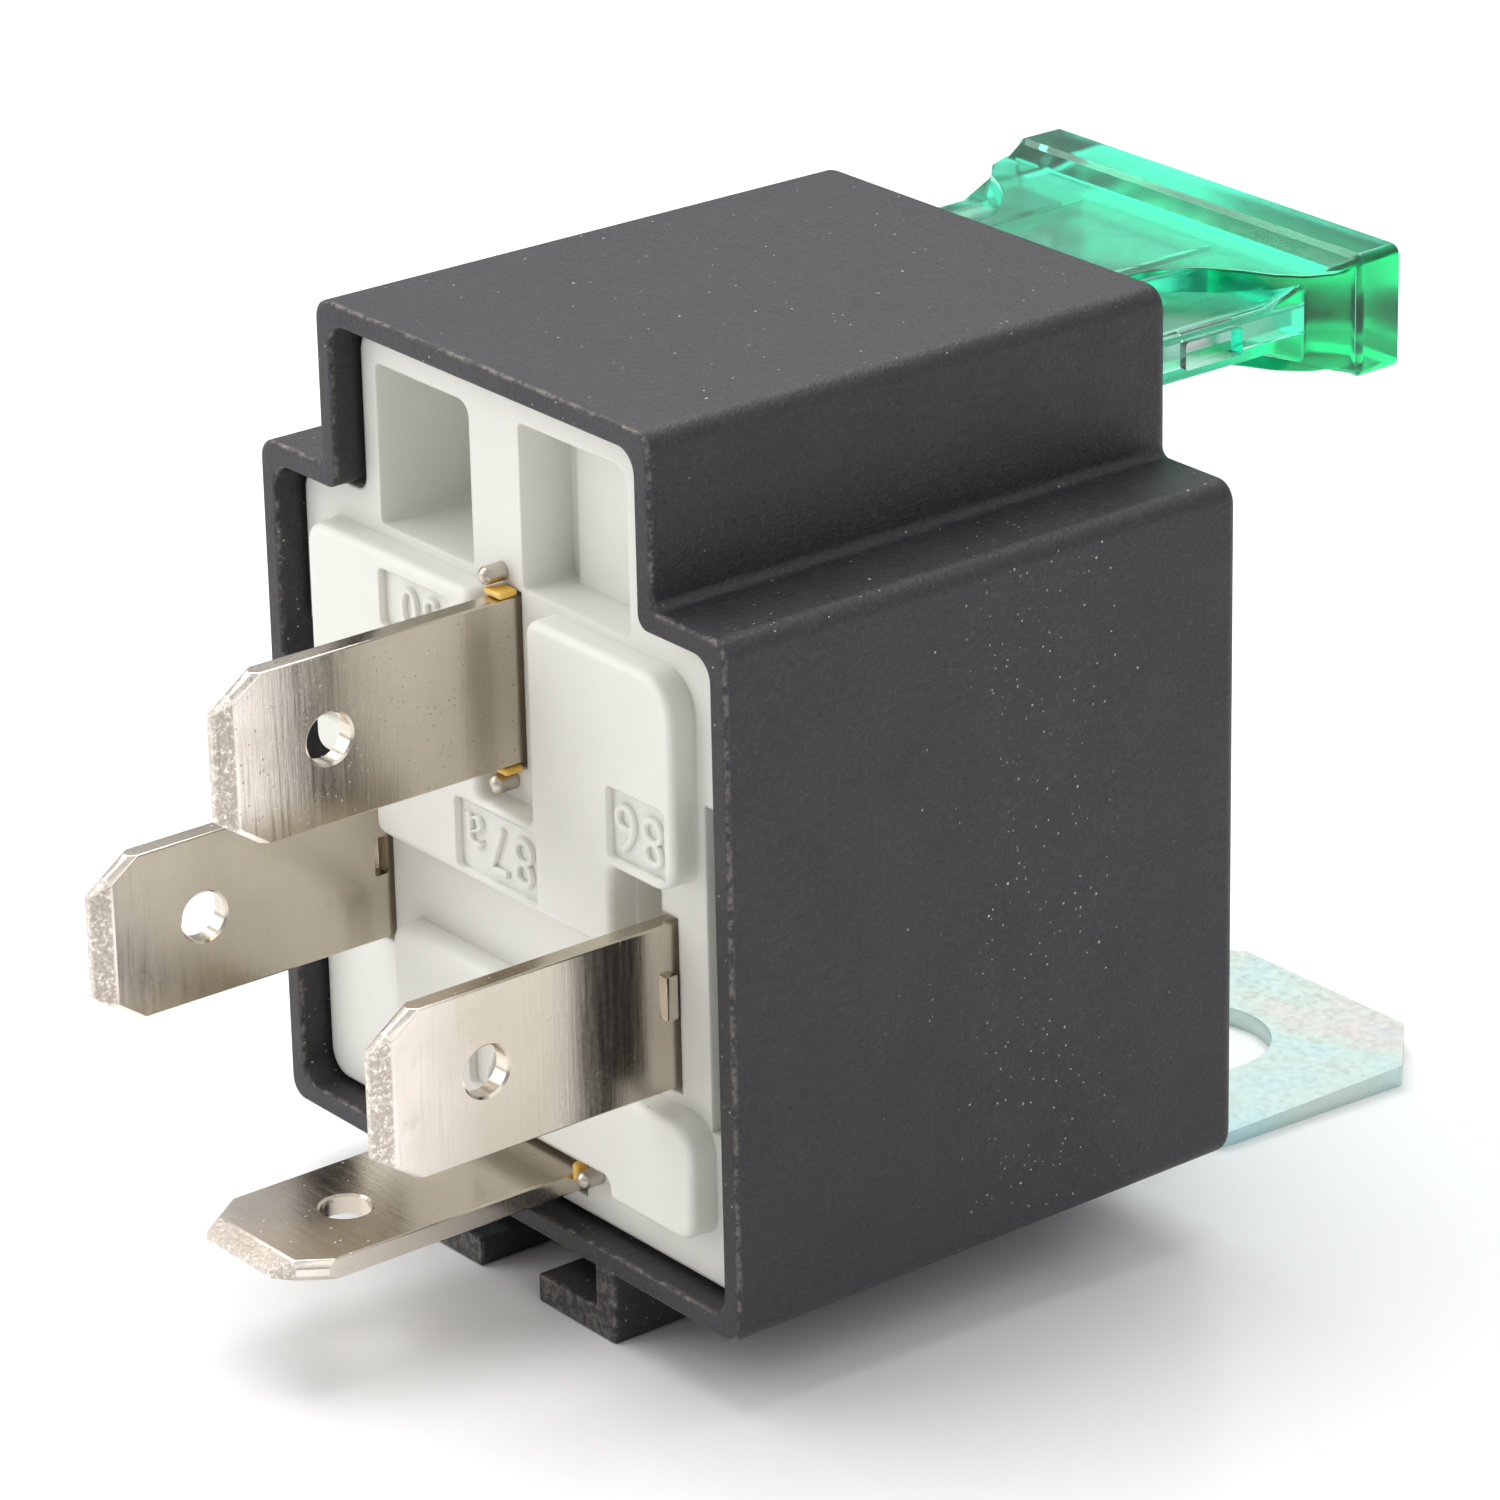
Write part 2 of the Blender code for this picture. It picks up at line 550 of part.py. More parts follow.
def make_fuse(plastic, metal):
    hw = FUSE_HEAD_W / 2
    ht = FUSE_HEAD_T / 2
    y0 = FUSE_HEAD_Y
    body = loft("fuse_body", [fuse_ring(y0, hw - 0.1, ht - 0.1, 0.3), fuse_ring(y0 + 0.12, hw, ht, 0.3),
                              fuse_ring(FUSE_END - 0.25, hw, ht, 0.3), fuse_ring(FUSE_END, hw - 0.25, ht - 0.25, 0.3)])
    thin = prism("thin", rect(-8.5, 8.5, FUSE_Z - 0.9, FUSE_Z + 0.9, 0.2), "y", FUSE_FOOT, y0 + 0.1, CUT)
    steps = [(28.6, 8.4, 0.85), (29.5, 8.55, 1.15), (30.3, 8.65, 1.45), (31.0, 8.8, 1.75), (31.7, 9.05, 2.0),
             (y0 + 0.1, 9.4, 2.2)]
    flare = loft("flare", [fuse_ring(*step, 0.2) for step in steps], CUT)
    side = [(4.4, FUSE_FOOT), (4.4, 26.2), (4.55, 27.0), (5.0, 27.8), (5.8, 28.6), (6.8, 29.25), (7.9, 29.8),
            (8.8, 30.6), (9.2, 31.5), (9.3, y0 + 0.1)]
    middle = prism("middle", side + [(-x, y) for x, y in side[::-1]], "z", FUSE_Z - 1.85, FUSE_Z + 1.85, CUT)
    combine(body, [thin, flare, middle], "UNION")
    cuts = [prism("pocket", rect(-7.9, 7.9, FUSE_Z - 0.6, FUSE_Z + 0.6, 0.2), "y", 20.0, 31.2, CUT),
            prism("centre", rect(-3.6, 3.6, FUSE_Z - 1.3, FUSE_Z + 1.3, 0.2), "y", 20.0, 30.6, CUT)]
    for k, x0, x1 in ((0, 7.2, 9.5), (1, -9.5, -7.2)):
        cuts.append(box(f"test_{k}", x0, x1, 25.0, 27.7, FUSE_Z - 0.55, FUSE_Z + 0.5, CUT))
    combine(body, cuts, "DIFFERENCE")
    paint(body, plastic)
    x0 = FUSE_BLADE_X - FUSE_BLADE_W / 2
    x1 = FUSE_BLADE_X + FUSE_BLADE_W / 2
    t = FUSE_BLADE_T / 2
    right = [(x0 + 0.7, FUSE_TIP), (x1 - 0.7, FUSE_TIP), (x1, FUSE_TIP + 0.9), (x1, 30.8), (x1 - 2.6, 30.8),
             (x1 - 2.6, 27.6), (x0, 27.6), (x0, FUSE_TIP + 0.9)]
    left = [(-x, y) for x, y in right]
    element = prism("fuse_element", right, "z", FUSE_Z - t, FUSE_Z + t)
    pieces = [prism("left", left, "z", FUSE_Z - t, FUSE_Z + t, CUT)]
    link = [(-5.2, 29.4), (-3.4, 29.4), (-1.2, 26.2), (1.0, 28.2), (3.4, 28.2), (5.2, 28.2), (5.2, 29.2),
            (0.6, 29.2), (-1.2, 27.4), (-2.9, 30.3), (-5.2, 30.3)]
    pieces.append(prism("link", link, "z", FUSE_Z - 0.2, FUSE_Z + 0.2, CUT))
    combine(element, pieces, "UNION")
    paint(element, metal)


def joggle():
    """The bracket's step down, as two bends: points of its upper face, from the tongue to the plate."""
    bend = math.radians(BEND_ANGLE)
    points = []
    for k in range(5):
        t = bend * k / 4
        points.append((BEND_Y + BEND_OUTER * math.sin(t), TONGUE_TOP - BEND_OUTER * (1 - math.cos(t))))
    slope = (TONGUE_TOP - PLATE_TOP - (BEND_OUTER + BEND_INNER) * (1 - math.cos(bend))) / math.sin(bend)
    end = BEND_Y + (BEND_OUTER + BEND_INNER) * math.sin(bend) + slope * math.cos(bend)
    for k in range(5):
        t = bend * (1 - k / 4)
        points.append((end - BEND_INNER * math.sin(t), PLATE_TOP + BEND_INNER * (1 - math.cos(t))))
    return points


def make_bracket(mat):
    path = [(1.6, TONGUE_TOP)] + joggle() + [(PLATE_END, PLATE_TOP)]
    strip = prism("mounting_bracket", bent_strip(path, PLATE_T), "x", -PLATE_HALF, PLATE_HALF)
    cut = 2.7
    outline = [(-5.0, 1.0), (5.0, 1.0), (5.0, 26.0), (PLATE_HALF, 28.2), (PLATE_HALF, PLATE_END - cut),
               (PLATE_HALF - cut, PLATE_END), (-PLATE_HALF + cut, PLATE_END), (-PLATE_HALF, PLATE_END - cut),
               (-PLATE_HALF, 28.2), (-5.0, 26.0)]
    radii = [0.6, 0.6, 0.8, 0.8, 0.5, 0.5, 0.5, 0.5, 0.8, 0.8]
    blank = prism("blank", rounded(outline, radii, 3), "z", -8.0, 4.0, CUT)
    combine(strip, [blank], "INTERSECT")
    hole = rod("hole", "z", (0.0, PLATE_HOLE_Y), PLATE_HOLE_R, -8.0, 0.0, 40, CUT)
    combine(strip, [hole], "DIFFERENCE")
    paint(strip, mat)


def build():
    black = material("cover_black", (0.03, 0.03, 0.032), 0.0, 0.55)
    ivory = material("base_ivory", (0.80, 0.79, 0.75), 0.0, 0.45)
    plated = material("blade_tin", (0.66, 0.62, 0.56), 1.0, 0.32)
    amber = material("sealant_amber", (0.55, 0.28, 0.06), 0.0, 0.2)
    bobbin_mat = material("bobbin_dark", (0.05, 0.05, 0.05), 0.0, 0.5)
    enamel = material("winding_copper", (0.62, 0.25, 0.12), 0.6, 0.35)
    steel = material("magnet_steel", (0.60, 0.58, 0.52), 1.0, 0.35)
    wire = material("lead_copper", (0.75, 0.40, 0.25), 1.0, 0.3)
    spring = material("spring_bronze", (0.72, 0.50, 0.30), 1.0, 0.3)
    silver = material("contact_silver", (0.80, 0.79, 0.76), 1.0, 0.25)
    brass = material("clip_brass", (0.75, 0.60, 0.30), 1.0, 0.3)
    green = material("fuse_green", (0.05, 0.62, 0.35), 0.0, 0.12, 0.35)
    zinc = material("element_zinc", (0.70, 0.71, 0.72), 1.0, 0.35)
    galvanised = material("bracket_zinc", (0.78, 0.82, 0.80), 1.0, 0.3)
    make_cover(black)
    make_base(ivory)
    fixed = make_terminals(plated)
    low = T30_TOP - BLADE_W
    drop("sealant_30_top", -0.02, T30_TOP + 0.17, 0.5, 0.13, 0.35, 1.15, amber)
    drop("sealant_30_low", -0.02, low - 0.17, 0.5, 0.13, 0.35, 1.15, amber)
    drop("sealant_87", 3.38, T87_TOP + 0.1, 0.2, 0.4, 0.6, 1.15, amber)
    pin("pin_30_top", -0.45, T30_TOP + 0.7, 0.34, 0.2, 1.17, plated)
    pin("pin_30_low", -0.25, low - 0.8, 0.36, 0.2, 1.17, plated)
    pin("pin_87", 4.1, T87_TOP + 0.15, 0.34, 0.25, 1.17, plated)
    make_magnet(bobbin_mat, enamel, steel, wire)
    make_armature(steel, spring, silver, fixed)
    make_stop(steel)
    make_clips(brass)
    make_fuse(green, zinc)
    make_bracket(galvanised)


build()
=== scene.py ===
"""Plug in relay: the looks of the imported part, with its camera, floor and lights.

Lengths are in millimetres in the relay's own frame: x across, y = 0 at the cover's open rim and
growing towards the fuse, z = 0 at the underside of the cover's wide block.
"""

import math

import bmesh
import bpy
from mathutils import Matrix, Vector


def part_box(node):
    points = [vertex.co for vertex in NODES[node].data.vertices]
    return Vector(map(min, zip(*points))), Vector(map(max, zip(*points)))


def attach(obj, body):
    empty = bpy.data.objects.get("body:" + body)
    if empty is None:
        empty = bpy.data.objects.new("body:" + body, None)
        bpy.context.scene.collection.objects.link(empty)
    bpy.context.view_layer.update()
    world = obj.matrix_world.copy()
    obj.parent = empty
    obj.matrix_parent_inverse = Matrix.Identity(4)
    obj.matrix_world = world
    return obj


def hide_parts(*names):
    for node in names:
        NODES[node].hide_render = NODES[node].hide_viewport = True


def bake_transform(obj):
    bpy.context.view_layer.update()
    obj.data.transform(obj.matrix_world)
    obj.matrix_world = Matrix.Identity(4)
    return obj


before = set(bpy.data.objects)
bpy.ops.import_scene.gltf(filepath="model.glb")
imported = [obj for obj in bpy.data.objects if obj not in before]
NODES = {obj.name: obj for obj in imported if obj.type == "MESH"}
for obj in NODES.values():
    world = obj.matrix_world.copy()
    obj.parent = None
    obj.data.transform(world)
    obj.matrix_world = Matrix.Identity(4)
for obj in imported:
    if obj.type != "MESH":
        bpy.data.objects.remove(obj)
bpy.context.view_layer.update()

MM = 0.001
RAIL_LOW = -2.75
COVER_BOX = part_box("cover")
ORIGIN = Vector((0.0, COVER_BOX[0].y, COVER_BOX[0].z - RAIL_LOW * MM))

COVER_W = (COVER_BOX[1].x - COVER_BOX[0].x) / MM
COVER_D = (COVER_BOX[1].y - COVER_BOX[0].y) / MM
COVER_H = (COVER_BOX[1].z - ORIGIN.z) / MM
COVER_WN = 19.2
COVER_HS = 26.2
COVER_R = 0.7
STEP_R = 0.4
DRAFT = 0.32
WALL = 0.8
END_WALL = 1.0
END_ROUND = 0.6
BASE_GAP = 0.25
BASE_FACE = 1.2
BASE_PANEL = 0.05
LABEL_DEEP = 0.3
BASE_BACK = 4.4

DEEP_WELL = [(-7.7, 24.2), (-2.15, 24.2), (-2.15, 30.25), (-7.7, 30.25)]
SHALLOW_WELL = [(0.75, 24.15), (6.85, 24.15), (6.85, 30.3), (0.75, 30.3)]

BLADE_W = 6.3
BLADE_T = 0.8
T30_TOP = 23.8
T85_TOP = 14.25
T85_X = 8.5
T87_TOP = 2.65
BLADE_TIP = (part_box("terminal_30")[0].y - ORIGIN.y) / MM
BLADE_END = 4.0
BLADE_CORNER_Y = 1.7
BLADE_CORNER_W = 1.2
HOLE_Y = BLADE_TIP + 4.65
HOLE_R = 0.93

FUSE_Z = 29.15
FUSE_FOOT = 22.2
FUSE_HEAD_Y = 32.4
FUSE_END = 34.6
FUSE_HEAD_HALF = 9.55
FUSE_HEAD_T = 2.35

TONGUE_START = 1.6
TONGUE_TOP = -0.35
TONGUE_HALF = 5.0
PLATE_TOP = -3.0
PLATE_T = 0.9
PLATE_HALF = 7.3
PLATE_END = 40.1
PLATE_CUT = 2.7
PLATE_HOLE_Y = 32.9
PLATE_HOLE_R = 3.25
BEND_Y = 24.6
BEND_ANGLE = 54.5
BEND_OUTER = 1.5
BEND_INNER = 0.6

SPRING_T = 0.25
SPRING_TOP = 17.75
SPRING_BACK = 20.75

CAMERA_AZIMUTH = 0.9093
CAMERA_ELEVATION = 0.3957
CAMERA_ROLL = -0.0220
CAMERA_LENS = 163.34
CAMERA_TARGET = (-0.545, 12.0, 14.72)
CAMERA_DISTANCE = 246.87


# ---------------------------------------------------------------- mesh helpers

def row(p):
    return ORIGIN + Vector(p) * MM


def mesh_object(name, verts, faces):
    mesh = bpy.data.meshes.new(name)
    mesh.from_pydata([row(v) for v in verts], [], faces)
    obj = bpy.data.objects.new(name, mesh)
    bpy.context.scene.collection.objects.link(obj)
    bm = bmesh.new()
    bm.from_mesh(mesh)
    bmesh.ops.remove_doubles(bm, verts=bm.verts, dist=1e-7)
    bmesh.ops.recalc_face_normals(bm, faces=bm.faces)
    bm.to_mesh(mesh)
    bm.free()
    return obj


def loft(name, rings):
    n = len(rings[0])
    verts = [v for ring in rings for v in ring]
    faces = [list(range(n)), [len(verts) - n + i for i in range(n)]]
    for k in range(len(rings) - 1):
        for i in range(n):
            j = (i + 1) % n
            faces.append([k * n + i, k * n + j, (k + 1) * n + j, (k + 1) * n + i])
    return mesh_object(name, verts, faces)


def prism(name, outline, axis, a, b):
    place = {"x": lambda t, p, q: (t, p, q),
             "y": lambda t, p, q: (p, t, q),
             "z": lambda t, p, q: (p, q, t)}[axis]
    return loft(name, [[place(t, p, q) for p, q in outline] for t in (a, b)])


def box(name, x0, x1, y0, y1, z0, z1):
    return prism(name, [(x0, z0), (x1, z0), (x1, z1), (x0, z1)], "y", y0, y1)


def circle(cx, cy, r, n=48):
    turns = [2 * math.pi * k / n for k in range(n)]
    return [(cx + r * math.cos(t), cy + r * math.sin(t)) for t in turns]


def bake(obj):
    """Turns the object's modifiers into its mesh."""
    deps = bpy.context.evaluated_depsgraph_get()
    mesh = bpy.data.meshes.new_from_object(obj.evaluated_get(deps))
    obj.modifiers.clear()
    obj.data = mesh


def combine(obj, others, operation):
    for other in others:
        mod = obj.modifiers.new(operation, "BOOLEAN")
        mod.operation = operation
        mod.solver = "EXACT"
        mod.object = other
    bake(obj)
    for other in others:
        bpy.data.objects.remove(other)


def bevel(obj, width, segments=3, angle=30):
    mod = obj.modifiers.new("bevel", "BEVEL")
    mod.width = width * MM
    mod.segments = segments
    mod.limit_method = "ANGLE"
    mod.angle_limit = math.radians(angle)
    bake(obj)
    return obj


def smooth(obj, angle=32):
    """Smooth shading with sharp edges kept, and flat faces kept flat."""
    bm = bmesh.new()
    bm.from_mesh(obj.data)
    bmesh.ops.remove_doubles(bm, verts=bm.verts, dist=1e-6)
    bmesh.ops.dissolve_degenerate(bm, edges=bm.edges, dist=1e-6)
    bm.to_mesh(obj.data)
    bm.free()
    obj.data.shade_smooth()
    obj.data.set_sharp_from_angle(angle=math.radians(angle))
    mod = obj.modifiers.new("weighted", "WEIGHTED_NORMAL")
    mod.keep_sharp = True
    return obj


def paint(obj, mat):
    obj.data.materials.clear()
    obj.data.materials.append(mat)


def stand_in(obj, body, node, mat):
    """obj is what shows for a CAD node, and takes that node's finish."""
    paint(obj, mat)
    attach(obj, body)
    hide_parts(node)


def round_corner(p, q, r, radius, n):
    a = (Vector(p) - Vector(q)).normalized()
    b = (Vector(r) - Vector(q)).normalized()
    half = a.angle(b) / 2
    centre = Vector(q) + (a + b).normalized() * (radius / math.sin(half))
    start = Vector(q) + a * (radius / math.tan(half)) - centre
    turn = 1 if a.x * b.y - a.y * b.x < 0 else -1
    sweep = turn * (math.pi - 2 * half)
    return [tuple(centre + Matrix.Rotation(sweep * k / n, 2) @ start) for k in range(n + 1)]


def rounded(corners, radii, n=8):
    outline = []
    for i, q in enumerate(corners):
        outline += round_corner(corners[i - 1], q, corners[(i + 1) % len(corners)], radii[i], n)
    return outline


def rect(x0, x1, z0, z1, radius, n=8):
    return rounded([(x0, z0), (x1, z0), (x1, z1), (x0, z1)], [radius] * 4, n)


def stepped(inset, draft, n=10):
    """The cover's section: a wide block with a narrower block on top."""
    w = COVER_W / 2 - inset - draft
    wn = COVER_WN / 2 - inset - draft * 0.5
    hs = COVER_HS - inset
    top = COVER_H - inset - draft * 0.2
    corners = [(-w, inset), (w, inset), (w, hs), (wn, hs), (wn, top), (-wn, top), (-wn, hs), (-w, hs)]
    r = COVER_R + inset * 0.25
    inner = STEP_R + inset * 0.15
    return rounded(corners, [r, r, r, inner, r, r, inner, r], n)


# ---------------------------------------------------------------- materials

class Graph:
    """A node material around one Principled shader, with mm object coordinates."""

    def __init__(self, name, color, metallic=0.0, rough=0.5):
        self.mat = bpy.data.materials.new(name)
        self.mat.use_nodes = True
        self.tree = self.mat.node_tree
        self.shader = self.tree.nodes["Principled BSDF"]
        self.set("Base Color", (*color, 1.0))
        self.set("Metallic", metallic)
        self.set("Roughness", rough)
        self.here = self.node("TexCoord").outputs["Object"]

    def node(self, kind, **props):
        made = self.tree.nodes.new("ShaderNode" + kind)
        for key, value in props.items():
            setattr(made, key, value)
        return made

    def join(self, source, socket):
        if isinstance(source, bpy.types.NodeSocket):
            self.tree.links.new(source, socket)
        else:
            socket.default_value = source

    def set(self, name, value):
        self.join(value, self.shader.inputs[name])

    def coords(self, scale=(1, 1, 1), shift=(0, 0, 0), turn=(0, 0, 0)):
        made = self.node("Mapping")
        self.tree.links.new(self.here, made.inputs["Vector"])
        made.inputs["Scale"].default_value = [s / MM for s in scale]
        made.inputs["Location"].default_value = shift
        made.inputs["Rotation"].default_value = turn
        return made.outputs["Vector"]

    def noise(self, scale=1.0, detail=3.0, rough=0.5, coords=None, distort=0.0):
        made = self.node("TexNoise")
        self.tree.links.new(coords or self.coords(), made.inputs["Vector"])
        made.inputs["Scale"].default_value = scale
        made.inputs["Detail"].default_value = detail
        made.inputs["Roughness"].default_value = rough
        made.inputs["Distortion"].default_value = distort
        return made.outputs["Fac"]

    def cells(self, scale, coords=None, feature="F1"):
        made = self.node("TexVoronoi", feature=feature)
        self.tree.links.new(coords or self.coords(), made.inputs["Vector"])
        made.inputs["Scale"].default_value = scale
        return made

    def math(self, operation, a, b=0.0, clamp=False):
        made = self.node("Math", operation=operation, use_clamp=clamp)
        self.join(a, made.inputs[0])
        self.join(b, made.inputs[1])
        return made.outputs[0]

    def fit(self, value, a, b, c=0.0, d=1.0):
        """value from a..b to c..d, held at the ends."""
        made = self.node("MapRange")
        self.join(value, made.inputs["Value"])
        for key, number in (("From Min", a), ("From Max", b), ("To Min", c), ("To Max", d)):
            made.inputs[key].default_value = number
        return made.outputs["Result"]

    def mix(self, fac, a, b):
        made = self.node("Mix", data_type="RGBA")
        self.join(fac, made.inputs["Factor"])
        self.join((*a, 1.0) if isinstance(a, tuple) else a, made.inputs["A"])
        self.join((*b, 1.0) if isinstance(b, tuple) else b, made.inputs["B"])
        return made.outputs["Result"]

    def axis(self, name, coords=None):
        made = self.node("SeparateXYZ")
        self.tree.links.new(coords or self.coords(), made.inputs[0])
        return made.outputs[name]

    def specks(self, scale, size, share, seed=0.0):
        """Small round flecks: 1 inside a fleck, 0 outside."""
        cell = self.cells(scale, self.coords(shift=(seed, seed, seed)))
        near = self.fit(cell.outputs["Distance"], size, size * 0.6)
        pick = self.math("GREATER_THAN", self.axis_of_color(cell.outputs["Color"]), 1.0 - share)
        return self.math("MULTIPLY", near, pick)

    def axis_of_color(self, color):
        made = self.node("SeparateColor")
        self.tree.links.new(color, made.inputs[0])
        return made.outputs[0]

    def bump(self, height, distance, strength=1.0, normal=None):
        made = self.node("Bump")
        made.inputs["Strength"].default_value = strength
        made.inputs["Distance"].default_value = distance * MM
        self.tree.links.new(height, made.inputs["Height"])
        if normal:
            self.tree.links.new(normal, made.inputs["Normal"])
        return made.outputs["Normal"]


def cover_plastic():
    g = Graph("cover_black", (0.035, 0.035, 0.038), 0.0, 0.5)
    fine = g.noise(5.0, 5.0, 0.75)
    broad = g.noise(0.35, 3.0, 0.6)
    color = g.mix(broad, (0.0203, 0.0196, 0.0240), (0.0270, 0.0262, 0.0305))
    color = g.mix(g.fit(fine, 0.53, 0.66, 0.0, 0.5), color, (0.060, 0.058, 0.060))
    color = g.mix(g.fit(fine, 0.47, 0.36, 0.0, 0.6), color, (0.010, 0.010, 0.012))
    low = g.axis("Y", g.coords(shift=(0, -ORIGIN.y / MM, 0)))
    rim = g.math("MULTIPLY", g.fit(low, 0.26, 0.12), g.fit(low, 0.0, 0.05))
    rubbed = g.math("MULTIPLY", rim, g.fit(g.noise(2.6, 5.0, 0.75), 0.46, 0.58))
    color = g.mix(g.math("MULTIPLY", rubbed, 0.85), color, (0.17, 0.15, 0.125))
    dust = g.math("MAXIMUM", g.specks(3.0, 0.14, 0.16), g.specks(1.5, 0.10, 0.16, 7.3))
    dust = g.math("MULTIPLY", dust, g.fit(g.noise(9.0, 2.0), 0.40, 0.56))
    color = g.mix(g.math("MULTIPLY", dust, g.fit(broad, 0.35, 0.65, 0.5, 1.0)), color, (0.62, 0.60, 0.56))
    color = g.mix(g.specks(1.7, 0.13, 0.15, 3.9), color, (0.006, 0.006, 0.006))
    hair = g.noise(0.9, 5.0, 0.75, g.coords((1.0, 0.3, 0.6), turn=(0.4, 0.2, 0.7)), 2.0)
    scuff = g.fit(hair, 0.68, 0.74, 0.0, 0.12)
    color = g.mix(scuff, color, (0.12, 0.12, 0.12))
    g.set("Base Color", color)
    g.set("Roughness", g.fit(broad, 0.3, 0.7, 0.46, 0.58))
    g.set("Specular IOR Level", 0.5)
    height = g.math("ADD", g.noise(8.0, 3.0, 0.6), g.math("MULTIPLY", g.noise(3.0, 2.0), 0.8))
    g.set("Normal", g.bump(height, 0.035, 1.0))
    return g.mat


def base_plastic():
    g = Graph("base_ivory", (0.80, 0.80, 0.76), 0.0, 0.42)
    cloud = g.noise(0.22, 3.0, 0.5)
    color = g.mix(cloud, (0.765, 0.765, 0.71), (0.805, 0.80, 0.75))
    dirt = g.specks(0.7, 0.06, 0.07, 3.1)
    color = g.mix(g.math("MULTIPLY", dirt, 0.6), color, (0.16, 0.15, 0.13))
    smear = g.fit(g.noise(0.5, 6.0, 0.75, g.coords((1, 1, 0.4))), 0.62, 0.75, 0.0, 0.25)
    color = g.mix(smear, color, (0.62, 0.61, 0.56))
    g.set("Base Color", color)
    g.set("Roughness", g.fit(g.noise(0.8, 4.0), 0.3, 0.7, 0.36, 0.5))
    g.set("Subsurface Weight", 0.25)
    g.set("Subsurface Radius", (1.0, 1.0, 0.8))
    g.set("Subsurface Scale", 0.0006)
    soft = g.node("Bevel", samples=6)
    soft.inputs["Radius"].default_value = 0.18 * MM
    g.set("Normal", g.bump(g.noise(2.5, 4.0, 0.6), 0.008, 0.6, soft.outputs["Normal"]))
    return g.mat


def plated_metal(name, brush, streak):
    """Tinned brass. brush is the direction that its marks run in, streak how dark they are near the tip."""
    g = Graph(name, (0.62, 0.56, 0.48), 1.0, 0.2)
    stretch = {"x": (0.12, 3.0, 3.0), "y": (3.0, 0.12, 3.0), "z": (3.0, 3.0, 0.12)}[brush]
    marks = g.noise(2.2, 5.0, 0.65, g.coords(stretch))
    grain = g.noise(7.0, 3.0, 0.6)
    broad = g.noise(0.45, 2.0, 0.5)
    place = g.axis("Y", g.coords(shift=(0, -ORIGIN.y / MM, 0)))
    # painted highlight: the colour grows lighter towards the blade's tip, standing in for the bright floor
    # that the tip reflects
    tip_highlight = g.fit(place, BLADE_TIP + 4.6, BLADE_TIP + 1.0)
    tip_highlight = g.math("MULTIPLY", tip_highlight, g.fit(broad, 0.3, 0.6, 0.6, 1.0))
    color = g.mix(broad, (0.59, 0.525, 0.44), (0.665, 0.605, 0.52))
    color = g.mix(tip_highlight, color, (0.90, 0.82, 0.75))
    brushed = g.fit(place, HOLE_Y + 0.4, HOLE_Y - 1.4)
    brushed = g.math("MULTIPLY", brushed, g.fit(marks, 0.46, 0.36, 0.0, streak))
    color = g.mix(brushed, color, (0.30, 0.265, 0.22))
    stain = g.fit(g.noise(0.8, 5.0, 0.7), 0.60, 0.78, 0.0, 0.35)
    color = g.mix(stain, color, (0.42, 0.36, 0.29))
    pits = g.specks(3.0, 0.15, 0.25, 1.9)
    color = g.mix(g.math("MULTIPLY", pits, 0.2), color, (0.36, 0.32, 0.27))
    tip = g.fit(place, BLADE_TIP + 0.8, BLADE_TIP + 0.7)
    coined = g.math("MULTIPLY", tip, g.fit(g.noise(5.0, 4.0, 0.8), 0.42, 0.58))
    color = g.mix(g.math("MULTIPLY", coined, 0.6), color, (0.42, 0.36, 0.29))
    g.set("Base Color", color)
    rough = g.math("ADD", g.fit(marks, 0.3, 0.7, 0.13, 0.24), g.fit(grain, 0.4, 0.7, 0.0, 0.05))
    rough = g.math("ADD", rough, g.math("MULTIPLY", g.math("MAXIMUM", pits, coined), 0.3))
    g.set("Roughness", rough)
    height = g.math("ADD", g.math("MULTIPLY", marks, 0.6), g.math("MULTIPLY", grain, 0.25))
    scratch = g.noise(1.4, 6.0, 0.8, g.coords((0.8, 0.5, 2.6), turn=(0.9, 0.3, 0.2)), 1.0)
    height = g.math("SUBTRACT", height, g.fit(scratch, 0.69, 0.73, 0.0, 0.8))
    height = g.math("SUBTRACT", height, g.math("MULTIPLY", pits, 0.9))
    height = g.math("ADD", height, g.math("MULTIPLY", coined, 3.0))
    g.set("Normal", g.bump(height, 0.008, 0.7))
    return g.mat


